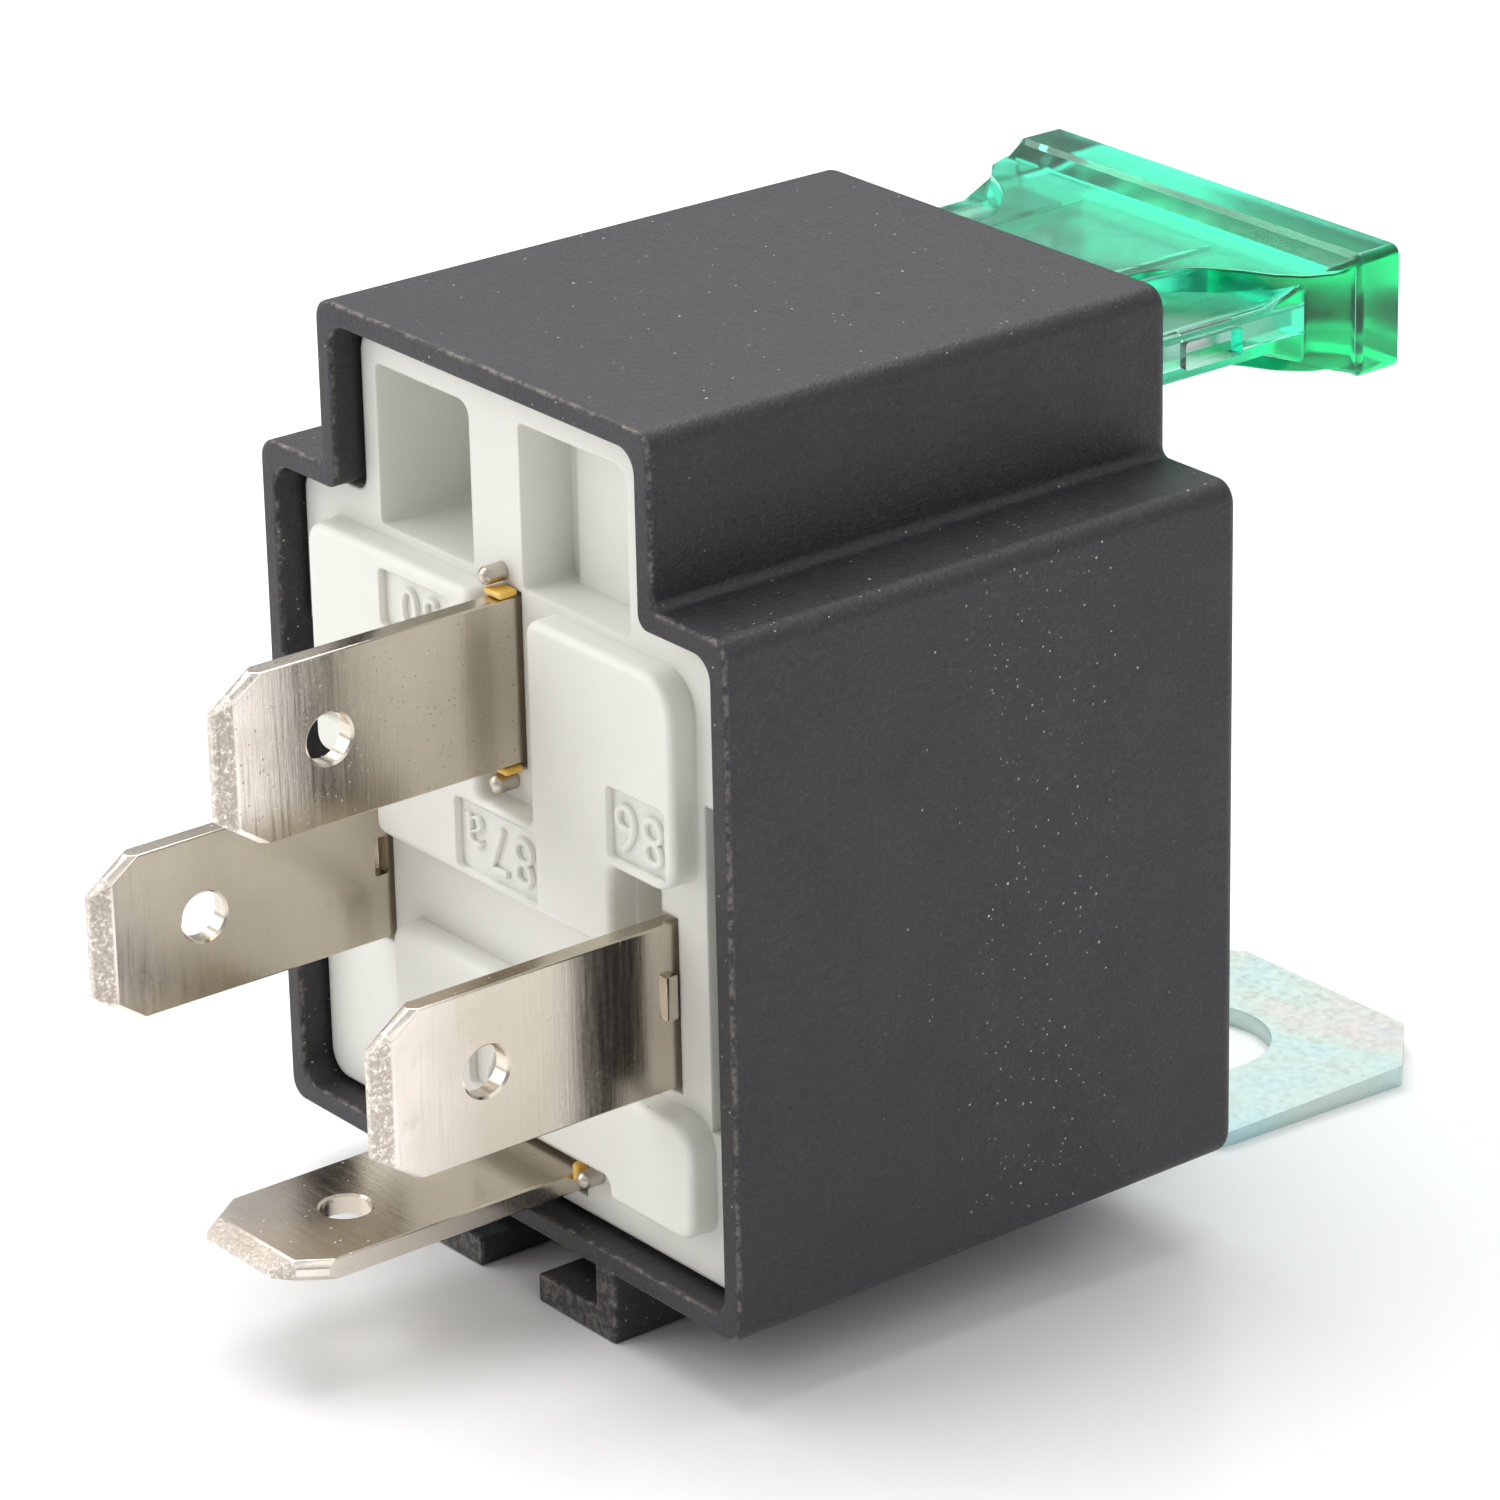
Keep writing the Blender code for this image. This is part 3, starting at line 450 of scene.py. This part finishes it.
def zinc_plate():
    g = Graph("bracket_zinc", (0.86, 0.90, 0.88), 1.0, 0.4)
    swirl = g.noise(0.11, 2.0, 0.45, distort=0.5)
    fine = g.noise(0.6, 3.0, 0.5, distort=0.3)
    tone = g.math("ADD", g.math("MULTIPLY", swirl, 0.9), g.math("MULTIPLY", fine, 0.1))
    ramp = g.node("ValToRGB")
    g.tree.links.new(tone, ramp.inputs[0])
    colors = [(0.32, (0.52, 0.71, 0.74)), (0.43, (0.58, 0.71, 0.68)), (0.5, (0.62, 0.70, 0.64)),
              (0.56, (0.68, 0.66, 0.63)), (0.62, (0.60, 0.68, 0.71)), (0.72, (0.56, 0.72, 0.67))]
    ramp.color_ramp.elements[0].position = colors[0][0]
    ramp.color_ramp.elements[0].color = (*colors[0][1], 1)
    ramp.color_ramp.elements[1].position = colors[-1][0]
    ramp.color_ramp.elements[1].color = (*colors[-1][1], 1)
    for place, color in colors[1:-1]:
        ramp.color_ramp.elements.new(place).color = (*color, 1)
    spots = g.specks(0.8, 0.11, 0.15, 4.4)
    color = g.mix(g.math("MULTIPLY", spots, 0.35), ramp.outputs["Color"], (0.45, 0.50, 0.42))
    g.set("Base Color", color)
    g.set("Roughness", g.fit(g.noise(3.0, 4.0, 0.6), 0.3, 0.7, 0.36, 0.52))
    lines = g.noise(2.0, 4.0, 0.6, g.coords((0.15, 2.5, 2.5)))
    g.set("Normal", g.bump(g.math("ADD", lines, g.noise(5.0, 3.0)), 0.006, 0.5))
    return g.mat


def simple_metal(name, dark, light, rough, brush="y"):
    g = Graph(name, light, 1.0, rough)
    stretch = {"x": (0.2, 2.5, 2.5), "y": (2.5, 0.2, 2.5), "z": (2.5, 2.5, 0.2)}[brush]
    marks = g.noise(2.0, 4.0, 0.6, g.coords(stretch))
    patch = g.noise(0.6, 3.0, 0.6)
    g.set("Base Color", g.mix(patch, dark, light))
    g.set("Roughness", g.fit(marks, 0.3, 0.7, rough - 0.06, rough + 0.08))
    g.set("Normal", g.bump(marks, 0.005, 0.5))
    return g.mat


def amber_resin():
    g = Graph("sealant_amber", (0.80, 0.36, 0.04), 0.0, 0.12)
    g.set("Base Color", g.mix(g.noise(1.8, 3.0), (0.95, 0.47, 0.03), (1.0, 0.70, 0.16)))
    g.set("Transmission Weight", 0.15)
    g.set("Subsurface Weight", 0.2)
    g.set("Subsurface Radius", (1.0, 0.5, 0.1))
    g.set("Subsurface Scale", 0.0004)
    g.set("Coat Weight", 0.5)
    g.set("Normal", g.bump(g.noise(2.0, 2.0), 0.02, 0.4))
    return g.mat


def green_plastic():
    g = Graph("fuse_green", (0.10, 0.85, 0.45), 0.0, 0.06)
    streak = g.noise(0.5, 3.0, 0.5, g.coords((0.5, 1.5, 1.0)))
    g.set("Base Color", g.mix(streak, (0.62, 0.97, 0.80), (0.76, 1.0, 0.88)))
    g.set("Roughness", g.fit(g.noise(1.5, 4.0, 0.6), 0.35, 0.75, 0.12, 0.22))
    g.set("Transmission Weight", 1.0)
    g.set("IOR", 1.5)
    g.set("Normal", g.bump(g.noise(0.9, 3.0, 0.5), 0.012, 0.4))
    depth = g.node("VolumeAbsorption")
    depth.inputs["Color"].default_value = (0.0, 0.970, 0.845, 1.0)
    depth.inputs["Density"].default_value = 400.0
    g.tree.links.new(depth.outputs[0], g.tree.nodes["Material Output"].inputs["Volume"])
    return g.mat


def winding():
    g = Graph("winding_copper", (0.62, 0.25, 0.12), 0.6, 0.3)
    turns = g.node("TexWave", wave_type="BANDS", bands_direction="Y")
    g.tree.links.new(g.coords(), turns.inputs["Vector"])
    turns.inputs["Scale"].default_value = 2.2
    turns.inputs["Distortion"].default_value = 0.4
    g.set("Base Color", g.mix(turns.outputs["Fac"], (0.34, 0.10, 0.04), (0.72, 0.32, 0.15)))
    g.set("Coat Weight", 0.6)
    g.set("Normal", g.bump(turns.outputs["Fac"], 0.05, 0.8))
    return g.mat


def bobbin_plastic():
    g = Graph("bobbin_dark", (0.04, 0.04, 0.045), 0.0, 0.5)
    g.set("Base Color", g.mix(g.noise(1.2, 4.0), (0.03, 0.03, 0.032), (0.06, 0.06, 0.062)))
    g.set("Normal", g.bump(g.noise(6.0, 3.0), 0.01, 0.6))
    return g.mat


# ---------------------------------------------------------------- visible pieces

def make_cover(mat):
    outer = []
    for k in range(8):
        t = math.radians(90 * (1 - k / 7))
        y = COVER_D - END_ROUND + END_ROUND * math.sin(t)
        outer.append((y, END_ROUND * (1 - math.cos(t)), DRAFT))
    for k in range(1, 4):
        outer.append((COVER_D * (1 - k / 4), 0.0, DRAFT * (1 - k / 4)))
    for k in range(5):
        t = math.radians(22.5 * k)
        outer.append((0.16 * (1 - math.sin(t)), 0.16 * (1 - math.cos(t)), 0.0))
    for k in range(5):
        t = math.radians(22.5 * k)
        outer.append((0.12 * (1 - math.cos(t)), WALL - 0.12 + 0.12 * math.sin(t), 0.0))
    outer.append((COVER_D - END_WALL, WALL, DRAFT))
    rings = [[(x, y, z) for x, z in stepped(inset, draft)] for y, inset, draft in outer]
    cover = loft("cover_shell", rings)
    slot = prism("slot", rect(-9.0, 9.0, FUSE_Z - 2.4, FUSE_Z + 2.4, 0.5), "y", 20.0, 30.0)
    combine(cover, [slot], "DIFFERENCE")
    rails = []
    for side in (-1, 1):
        outline = [(1.75, RAIL_LOW), (6.3, RAIL_LOW), (6.3, 0.4), (5.2, 0.4), (5.2, -1.65), (1.75, -1.65)]
        rail = prism(f"rail{side}", [(side * x, z) for x, z in outline], "y", 0.04, 20.5)
        rails.append(bevel(rail, 0.09, 2))
    combine(cover, rails, "UNION")
    smooth(cover, 34)
    stand_in(cover, "relay", "cover", mat)


def make_base(mat):
    back = [(x, BASE_BACK, z) for x, z in stepped(WALL + BASE_GAP + 0.15, 0.0)]
    front = [(x, BASE_FACE, z) for x, z in stepped(WALL + BASE_GAP, 0.0)]
    base = loft("base_moulding", [front, back])
    upper = [(-7.3, 12.7), (6.7, 12.7), (6.7, 15.9), (10.35, 15.9), (10.35, 23.8), (2.2, 23.8), (2.2, 15.95),
             (-1.0, 15.95), (-1.0, 23.8), (-10.9, 23.8), (-10.9, 14.9), (-7.3, 14.9)]
    lower = [(-6.6, 3.7), (6.1, 3.7), (6.1, 2.9), (10.9, 2.9), (10.9, 7.3), (6.9, 7.3), (6.9, 9.3),
             (-6.6, 9.3)]
    top = [0.5, 0.5, 0.4, 1.1, 1.5, 0.6, 0.4, 0.4, 0.5, 0.9, 0.6, 0.5]
    low = [0.6, 0.35, 0.35, 0.8, 1.2, 0.6, 0.6, 0.6]
    raised = [
        prism("upper", rounded(upper, top), "y", BASE_PANEL, BASE_FACE + 0.5),
        prism("lower", rounded(lower, low), "y", BASE_PANEL, BASE_FACE + 0.5),
        prism("well", rect(-8.3, -1.5, 23.4, 30.8, 0.8), "y", BASE_BACK - 0.4, 6.5),
    ]
    for piece in raised:
        bevel(piece, 0.3, 5, 50)
    combine(base, raised, "UNION")
    sunk = BASE_PANEL + LABEL_DEEP
    cuts = [
        prism("deep", rounded(DEEP_WELL, [0.2, 0.2, 0.6, 0.2]), "y", 0.0, 5.9),
        prism("shallow", rounded(SHALLOW_WELL, [0.2, 0.2, 0.7, 0.2]), "y", 0.0, 3.0),
        prism("groove", rect(0.75, 1.6, 24.15, 30.3, 0.2), "y", 0.0, 3.4),
        prism("w30", rect(-6.4, -2.1, 21.0, 23.2, 0.25), "y", -1.0, sunk),
        prism("w87a", rect(-2.3, 2.5, 13.0, 15.75, 0.25), "y", -1.0, sunk),
        prism("w86", rect(6.7, 9.95, 16.3, 19.0, 0.25), "y", -1.0, sunk),
        prism("w85", rect(-10.4, -7.2, 16.3, 19.0, 0.25), "y", -1.0, sunk),
        prism("w87", rect(-2.0, 2.0, 4.6, 7.2, 0.25), "y", -1.0, sunk),
        prism("r86", rect(6.85, 8.2, 12.0, 15.6, 0.5), "y", -1.0, 2.2),
        prism("r30", rect(-1.9, -0.6, 20.0, 23.0, 0.4), "y", -1.0, 1.5),
        box("latch_right", 10.75, 13.5, -1.0, 2.6, 6.9, 19.2),
        box("latch_left", -13.5, -11.0, -1.0, 2.6, 6.9, 19.2),
        box("stop", 6.0, 8.2, 3.2, 6.0, 1.7, 2.9),
        box("s87", -3.35, 3.35, -1.0, 6.0, T87_TOP - BLADE_T - 0.2, T87_TOP + 0.2),
    ]
    for x, z in ((0.0, T30_TOP), (-T85_X, T85_TOP), (T85_X, T85_TOP)):
        cuts.append(box(f"slot{x}", x - 0.6, x + 0.6, -1.0, 6.0, z - BLADE_W - 0.2, z + 0.2))
    combine(base, cuts, "DIFFERENCE")
    smooth(base, 34)
    stand_in(base, "relay", "base", mat)


def make_number(text, x, z, height, mat):
    """A raised number in its sunken window. It reads upright with the relay turned over."""
    curve = bpy.data.curves.new("number", "FONT")
    curve.body = text
    curve.align_x = "CENTER"
    curve.align_y = "CENTER"
    curve.size = height * 1.42 * MM
    curve.space_character = 1.12
    curve.extrude = 0.11 * MM
    curve.bevel_depth = 0.035 * MM
    curve.bevel_resolution = 2
    curve.offset = -0.05 * MM
    maker = bpy.data.objects.new("number", curve)
    bpy.context.scene.collection.objects.link(maker)
    bpy.context.view_layer.update()
    deps = bpy.context.evaluated_depsgraph_get()
    mesh = bpy.data.meshes.new_from_object(maker.evaluated_get(deps))
    bpy.data.objects.remove(maker)
    place = Matrix.Translation(row((x, BASE_PANEL + LABEL_DEEP - 0.05, z)))
    turn = Matrix.Rotation(math.pi, 4, "Y") @ Matrix.Rotation(math.pi / 2, 4, "X")
    mesh.transform(place @ turn)
    obj = bpy.data.objects.new("number_" + text, mesh)
    bpy.context.scene.collection.objects.link(obj)
    smooth(obj, 40)
    paint(obj, mat)
    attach(obj, "relay")


def cross(p, d, q, e):
    """Where the line through p along d meets the line through q along e."""
    k = d[0] * e[1] - d[1] * e[0]
    t = ((q[0] - p[0]) * e[1] - (q[1] - p[1]) * e[0]) / k
    return (p[0] + d[0] * t, p[1] + d[1] * t)


def blade_ring(mid, half, tip, corner, side):
    """A blade's outline in (y, across) moved in at its tip, its cut corners and its long sides."""
    slope = Vector((BLADE_CORNER_Y, BLADE_CORNER_W)).normalized()
    inward = Vector((slope.y, -slope.x)) * corner
    lines = []
    for s in (1, -1):
        edge = ((0.0, mid + s * (half - side)), (1.0, 0.0))
        cut = ((BLADE_TIP + inward.x, mid + s * (half - BLADE_CORNER_W + inward.y)), (slope.x, s * slope.y))
        lines.append((edge, cut))
    front = ((BLADE_TIP + tip, 0.0), (0.0, 1.0))
    (e1, c1), (e2, c2) = lines
    low = [(BLADE_END, mid - half + side), cross(*e2, *c2), cross(*c2, *front)]
    return low + [cross(*c1, *front), cross(*e1, *c1), (BLADE_END, mid + half - side)]


def make_blade(name, node, flat, level, mid, arms, lance, mat):
    """One tinned blade. flat is the axis that it is thin along, level its place on that axis."""
    def place(y, across, thick):
        return (level + thick, y, across) if flat == "x" else (across, y, level + thick)

    half = BLADE_W / 2
    steps = [(0.4, 0.85, 0.2, 0.05), (0.35, 0.7, 0.15, 0.0), (0.17, 0.06, 0.02, 0.0), (0.12, 0.0, 0.0, 0.0)]
    steps = [(-t, *rest) for t, *rest in steps] + [(t, *rest) for t, *rest in steps[::-1]]
    rings = []
    for thick, tip, corner, side in steps:
        rings.append([place(y, a, thick) for y, a in blade_ring(mid, half, tip, corner, side)])
    blade = loft(name, rings)
    bevel(blade, 0.03, 2, 12)
    rings = []
    for radius, t in ((1.25, -0.60), (HOLE_R, -0.32), (HOLE_R, 0.32), (1.25, 0.60)):
        rings.append([place(HOLE_Y + u, mid + v, t) for u, v in circle(0, 0, radius, 56)])
    combine(blade, [loft("hole", rings)], "DIFFERENCE")
    extra = [box(f"arm{i}", *arm) for i, arm in enumerate(arms)]
    if lance:
        out = sorted((level + 0.2 * lance, level + 0.65 * lance))
        extra.append(bevel(box("tab", *out, 0.6, 1.1, 10.7, 12.4), 0.06, 2))
    combine(blade, extra, "UNION")
    if lance:
        back = sorted((level - 0.6 * lance, level + 0.2 * lance))
        combine(blade, [bevel(box("dent", *back, 0.5, 1.1, 10.5, 12.0), 0.1, 2)], "DIFFERENCE")
    smooth(blade, 25)
    stand_in(blade, "relay", node, mat)


def make_terminals(main, upright, level):
    t = BLADE_T / 2 - 0.05
    arms = [(-t, t, 3.9, 9.2, 18.0, 23.6), (-t, t, 6.6, 9.2, 23.5, 29.6)]
    make_blade("blade_30", "terminal_30", "x", 0.0, T30_TOP - BLADE_W / 2, arms, 0, main)
    for side, node in ((-1, "terminal_85"), (1, "terminal_86")):
        x = side * T85_X
        arms = [(x - t, x + t, 3.9, 8.6, 9.0, 13.2)]
        make_blade("blade_" + node[-2:], node, "x", x, T85_TOP - BLADE_W / 2, arms, side, upright)
    low = T87_TOP - 0.75
    arms = [(-2.6, 2.6, 3.9, 17.7, low, T87_TOP - 0.05), (-2.6, 2.6, 16.95, 17.7, low, 4.4)]
    make_blade("blade_87", "terminal_87", "z", T87_TOP - BLADE_T / 2, 0.0, arms, 0, level)


def bent_strip(path, thick):
    outer, inner = [], []
    for i, p in enumerate(path):
        a = Vector(path[max(i - 1, 0)])
        b = Vector(path[min(i + 1, len(path) - 1)])
        along = (b - a).normalized()
        outer.append(tuple(p))
        inner.append((p[0] + along.y * thick, p[1] - along.x * thick))
    return outer + inner[::-1]


def joggle():
    """The bracket's step down, as two bends: points of its upper face, from the tongue to the plate."""
    bend = math.radians(BEND_ANGLE)
    points = []
    for k in range(9):
        t = bend * k / 8
        points.append((BEND_Y + BEND_OUTER * math.sin(t), TONGUE_TOP - BEND_OUTER * (1 - math.cos(t))))
    slope = (TONGUE_TOP - PLATE_TOP - (BEND_OUTER + BEND_INNER) * (1 - math.cos(bend))) / math.sin(bend)
    end = BEND_Y + (BEND_OUTER + BEND_INNER) * math.sin(bend) + slope * math.cos(bend)
    for k in range(9):
        t = bend * (1 - k / 8)
        points.append((end - BEND_INNER * math.sin(t), PLATE_TOP + BEND_INNER * (1 - math.cos(t))))
    return points


def make_bracket(mat):
    path = [(TONGUE_START, TONGUE_TOP)] + joggle() + [(PLATE_END, PLATE_TOP)]
    strip = prism("bracket_plate", bent_strip(path, PLATE_T), "x", -PLATE_HALF, PLATE_HALF)
    right = [(TONGUE_HALF, 1.0), (TONGUE_HALF, 26.0), (PLATE_HALF, 28.2), (PLATE_HALF, PLATE_END - PLATE_CUT),
             (PLATE_HALF - PLATE_CUT, PLATE_END)]
    outline = [(-TONGUE_HALF, 1.0)] + right + [(-x, y) for x, y in right[:0:-1]]
    radii = [0.6, 0.6, 0.8, 0.8, 0.5, 0.5, 0.5, 0.5, 0.8, 0.8]
    combine(strip, [prism("blank", rounded(outline, radii), "z", -8.0, 4.0)], "INTERSECT")
    combine(strip, [prism("hole", circle(0.0, PLATE_HOLE_Y, PLATE_HOLE_R, 72), "z", -8.0, 0.0)], "DIFFERENCE")
    bevel(strip, 0.07, 2, 50)
    smooth(strip, 34)
    stand_in(strip, "bracket", "mounting_bracket", mat)


def make_fuse(mat):
    """The clear housing: thin sides, a raised middle that flares out to the head, and a grip bar."""
    def ring(y, half_x, half_z, radius):
        return [(x, y, z) for x, z in rect(-half_x, half_x, FUSE_Z - half_z, FUSE_Z + half_z, radius)]

    head = [(FUSE_HEAD_Y, 0.17), (FUSE_HEAD_Y + 0.06, 0.13), (FUSE_HEAD_Y + 0.2, 0.01),
            (FUSE_HEAD_Y + 0.26, 0.0), (FUSE_END - 0.25, 0.0), (FUSE_END, 0.25)]
    body = loft("fuse_housing", [ring(y, FUSE_HEAD_HALF - cut, FUSE_HEAD_T - cut, 0.4) for y, cut in head])
    thin = prism("thin", rect(-8.5, 8.5, FUSE_Z - 0.9, FUSE_Z + 0.9, 0.2), "y", FUSE_FOOT, FUSE_HEAD_Y)
    flare = [(28.6, 8.4, 0.85), (29.5, 8.55, 1.15), (30.3, 8.65, 1.45), (31.0, 8.8, 1.75), (31.7, 9.05, 2.0),
             (FUSE_HEAD_Y + 0.1, 9.4, 2.2)]
    side = [(4.4, FUSE_FOOT), (4.4, 26.2), (4.55, 27.0), (5.0, 27.8), (5.8, 28.6), (6.8, 29.25), (7.9, 29.8),
            (8.8, 30.6), (9.2, 31.5), (9.3, FUSE_HEAD_Y + 0.1)]
    outline = side + [(-x, y) for x, y in side[::-1]]
    middle = bevel(prism("middle", outline, "z", FUSE_Z - 1.85, FUSE_Z + 1.85), 0.12, 2, 50)
    combine(body, [thin, loft("flare", [ring(*step, 0.2) for step in flare]), middle], "UNION")
    cuts = [prism("pocket", rect(-7.9, 7.9, FUSE_Z - 0.6, FUSE_Z + 0.6, 0.2), "y", 20.0, 31.2),
            prism("centre", rect(-3.6, 3.6, FUSE_Z - 1.3, FUSE_Z + 1.3, 0.2), "y", 20.0, 30.6)]
    for x in (7.2, -9.5):
        cuts.append(bevel(box(f"test{x}", x, x + 2.3, 25.0, 27.7, FUSE_Z - 0.55, FUSE_Z + 0.5), 0.12, 2))
    combine(body, cuts, "DIFFERENCE")
    smooth(body, 34)
    stand_in(body, "fuse", "fuse_body", mat)


def make_pins(pin, amber):
    """The silver pin ends, each a domed stub, and the resin in the gap between pin and blade."""
    for name in ("pin_30_top", "pin_30_low", "pin_87"):
        low, high = (Vector(v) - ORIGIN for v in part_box(name))
        middle = (low + high) / (2 * MM)
        radius = (high.x - low.x) / (2 * MM)
        front, back = low.y / MM, high.y / MM
        rings = []
        for k in range(9):
            t = math.radians(10 + 10 * k)
            size, y = radius * math.sin(t), front + radius * 0.8 * (1 - math.cos(t))
            rings.append([(x, y, z) for x, z in circle(middle.x, middle.z, size, 32)])
        rings.append([(x, back, z) for x, z in circle(middle.x, middle.z, radius, 32)])
        stub = loft("silver_" + name, rings)
        smooth(stub, 50)
        stand_in(stub, "relay", name, pin)
    for name in ("sealant_30_top", "sealant_30_low", "sealant_87"):
        low, high = (Vector(v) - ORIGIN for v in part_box(name))
        low, high = low / MM, high / MM
        blob = box("resin_" + name, low.x, high.x, low.y, high.y, low.z, high.z)
        bevel(blob, 0.42 * min(high.x - low.x, high.y - low.y, high.z - low.z), 5)
        smooth(blob, 60)
        stand_in(blob, "relay", name, amber)


def make_spring(mat):
    """The leaf that carries the armature: it bends where it passes over the yoke's end."""
    path = [(y, SPRING_TOP) for y in (13.2, 15.0, 17.0, 18.4)]
    for k in range(19):
        t = math.radians(5 * k)
        path.append((19.55 + 1.2 * math.sin(t), 16.55 + 1.2 * math.cos(t)))
    path += [(SPRING_BACK, 15.5 - k * 1.5) for k in range(9)] + [(SPRING_BACK, 2.0)]
    strip = prism("contact_leaf", bent_strip(path, SPRING_T), "x", -3.4, 3.4)
    cuts = [prism(f"v{x}", circle(x, 15.0, 0.75, 24), "z", 14.0, 20.0) for x in (-2.0, 2.0)]
    cuts += [prism(f"w{z}", circle(0.0, z, 0.75, 24), "y", 17.0, 22.0) for z in (9.6, 13.4)]
    combine(strip, cuts, "DIFFERENCE")
    smooth(strip, 30)
    paint(strip, mat)
    row((0, 18.2, 17.8))
    row((0, 20.6, 15.4))
    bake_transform(strip)
    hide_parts("contact_spring")


# ---------------------------------------------------------------- stage

def make_floor():
    """A white glossy table. The relay stands on its rails' front ends and the bracket plate's end."""
    foot = Vector((0.0, ORIGIN.y, COVER_BOX[0].z))
    plate = Vector((0.0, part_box("mounting_bracket")[1].y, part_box("mounting_bracket")[0].z))
    along = (plate - foot).normalized()
    across = Vector((1.0, 0.0, 0.0))
    up = across.cross(along)
    half = 1.2
    middle = (foot + plate) / 2 - up * 0.00002
    corners = [middle + across * a * half + along * b * half for a, b in ((-1, -1), (1, -1), (1, 1), (-1, 1))]
    mesh = bpy.data.meshes.new("floor")
    mesh.from_pydata(corners, [], [(0, 1, 2, 3)])
    floor = bpy.data.objects.new("floor", mesh)
    bpy.context.scene.collection.objects.link(floor)
    g = Graph("floor_white", (0.90, 0.90, 0.905), 0.0, 0.22)
    g.set("Base Color", g.mix(g.noise(0.02, 2.0), (0.89, 0.89, 0.895), (0.91, 0.91, 0.915)))
    g.set("Specular IOR Level", 0.35)
    paint(floor, g.mat)


def area_light(name, place, target, size, power, color=(1, 1, 1)):
    data = bpy.data.lights.new(name, "AREA")
    data.shape = "RECTANGLE"
    data.size, data.size_y = size
    data.energy = power
    data.color = color
    lamp = bpy.data.objects.new(name, data)
    bpy.context.scene.collection.objects.link(lamp)
    lamp.location = row(place)
    lamp.rotation_euler = (row(target) - row(place)).to_track_quat("-Z", "Y").to_euler()


def make_light():
    world = bpy.data.worlds.new("studio")
    bpy.context.scene.world = world
    world.use_nodes = True
    back = world.node_tree.nodes["Background"]
    tree = world.node_tree
    where = tree.nodes.new("ShaderNodeTexCoord")
    split = tree.nodes.new("ShaderNodeSeparateXYZ")
    rise = tree.nodes.new("ShaderNodeMapRange")
    tree.links.new(where.outputs["Generated"], split.inputs[0])
    tree.links.new(split.outputs["Z"], rise.inputs["Value"])
    rise.inputs["From Min"].default_value = 0.1
    rise.inputs["From Max"].default_value = 0.8
    rise.inputs["To Min"].default_value = 0.38
    rise.inputs["To Max"].default_value = 0.70
    tree.links.new(rise.outputs["Result"], back.inputs["Strength"])
    back.inputs["Color"].default_value = (1.0, 1.0, 1.0, 1.0)
    middle = (0, 10, 14)
    area_light("top_box", (-150, 70, 400), middle, (0.42, 0.42), 1.85)
    area_light("left_box", (-230, -270, 200), middle, (0.35, 0.35), 0.74)
    area_light("right_box", (300, 20, 240), middle, (0.35, 0.35), 0.28)


def make_camera():
    flat = math.cos(CAMERA_ELEVATION)
    back = Vector((math.sin(CAMERA_AZIMUTH) * flat, -math.cos(CAMERA_AZIMUTH) * flat,
                   math.sin(CAMERA_ELEVATION)))
    data = bpy.data.cameras.new("camera")
    data.sensor_width = 36.0
    data.lens = CAMERA_LENS
    data.clip_start = 0.01
    data.clip_end = 10.0
    camera = bpy.data.objects.new("camera", data)
    bpy.context.scene.collection.objects.link(camera)
    camera.location = row(CAMERA_TARGET) + back * CAMERA_DISTANCE * MM
    camera.rotation_mode = "QUATERNION"
    roll = Matrix.Rotation(CAMERA_ROLL, 3, "Z").to_quaternion()
    camera.rotation_quaternion = (-back).to_track_quat("-Z", "Y") @ roll
    bpy.context.scene.camera = camera


def paint_nodes(names, mat):
    for name in names:
        paint(NODES[name], mat)


def build():
    make_camera()
    make_light()
    make_floor()
    ivory = base_plastic()
    make_cover(cover_plastic())
    make_base(ivory)
    for text, x, z, height in (("30", -4.2, 22.1, 1.6), ("87a", 0.1, 14.4, 1.9), ("86", 8.3, 17.65, 1.9),
                               ("85", -8.8, 17.65, 1.9), ("87", 0.0, 5.9, 1.9)):
        make_number(text, x, z, height, ivory)
    make_terminals(plated_metal("blade_tin_main", "z", 0.45), plated_metal("blade_tin_upright", "z", 0.15),
                   plated_metal("blade_tin_level", "x", 0.10))
    make_bracket(zinc_plate())
    make_fuse(green_plastic())
    bronze = simple_metal("spring_bronze", (0.62, 0.38, 0.20), (0.78, 0.56, 0.34), 0.28, "x")
    make_spring(bronze)
    amber = amber_resin()
    make_pins(simple_metal("pin_silver", (0.46, 0.40, 0.34), (0.66, 0.61, 0.55), 0.34), amber)
    steel = simple_metal("magnet_steel", (0.50, 0.47, 0.40), (0.66, 0.63, 0.56), 0.34)
    paint_nodes(["armature", "armature_rivet_a", "armature_rivet_b", "spring_rivet_a", "spring_rivet_b",
                 "iron_core", "yoke", "rest_stop"], steel)
    silver = simple_metal("contact_silver", (0.70, 0.69, 0.66), (0.86, 0.85, 0.82), 0.22)
    paint_nodes(["fixed_contact", "moving_contact"], silver)
    paint_nodes(["bobbin"], bobbin_plastic())
    paint_nodes(["coil_winding"], winding())
    wire = simple_metal("lead_copper", (0.60, 0.26, 0.12), (0.85, 0.45, 0.28), 0.28)
    paint_nodes(["coil_lead_85", "coil_lead_86"], wire)
    brass = simple_metal("clip_brass", (0.60, 0.48, 0.24), (0.80, 0.68, 0.40), 0.3)
    paint_nodes(["fuse_clip_line", "fuse_clip_load"], brass)
    zinc = simple_metal("element_zinc", (0.55, 0.57, 0.56), (0.78, 0.79, 0.80), 0.3)
    paint_nodes(["fuse_element"], zinc)
    bpy.context.scene.view_settings.view_transform = "Standard"


build()
bpy.context.view_layer.update()
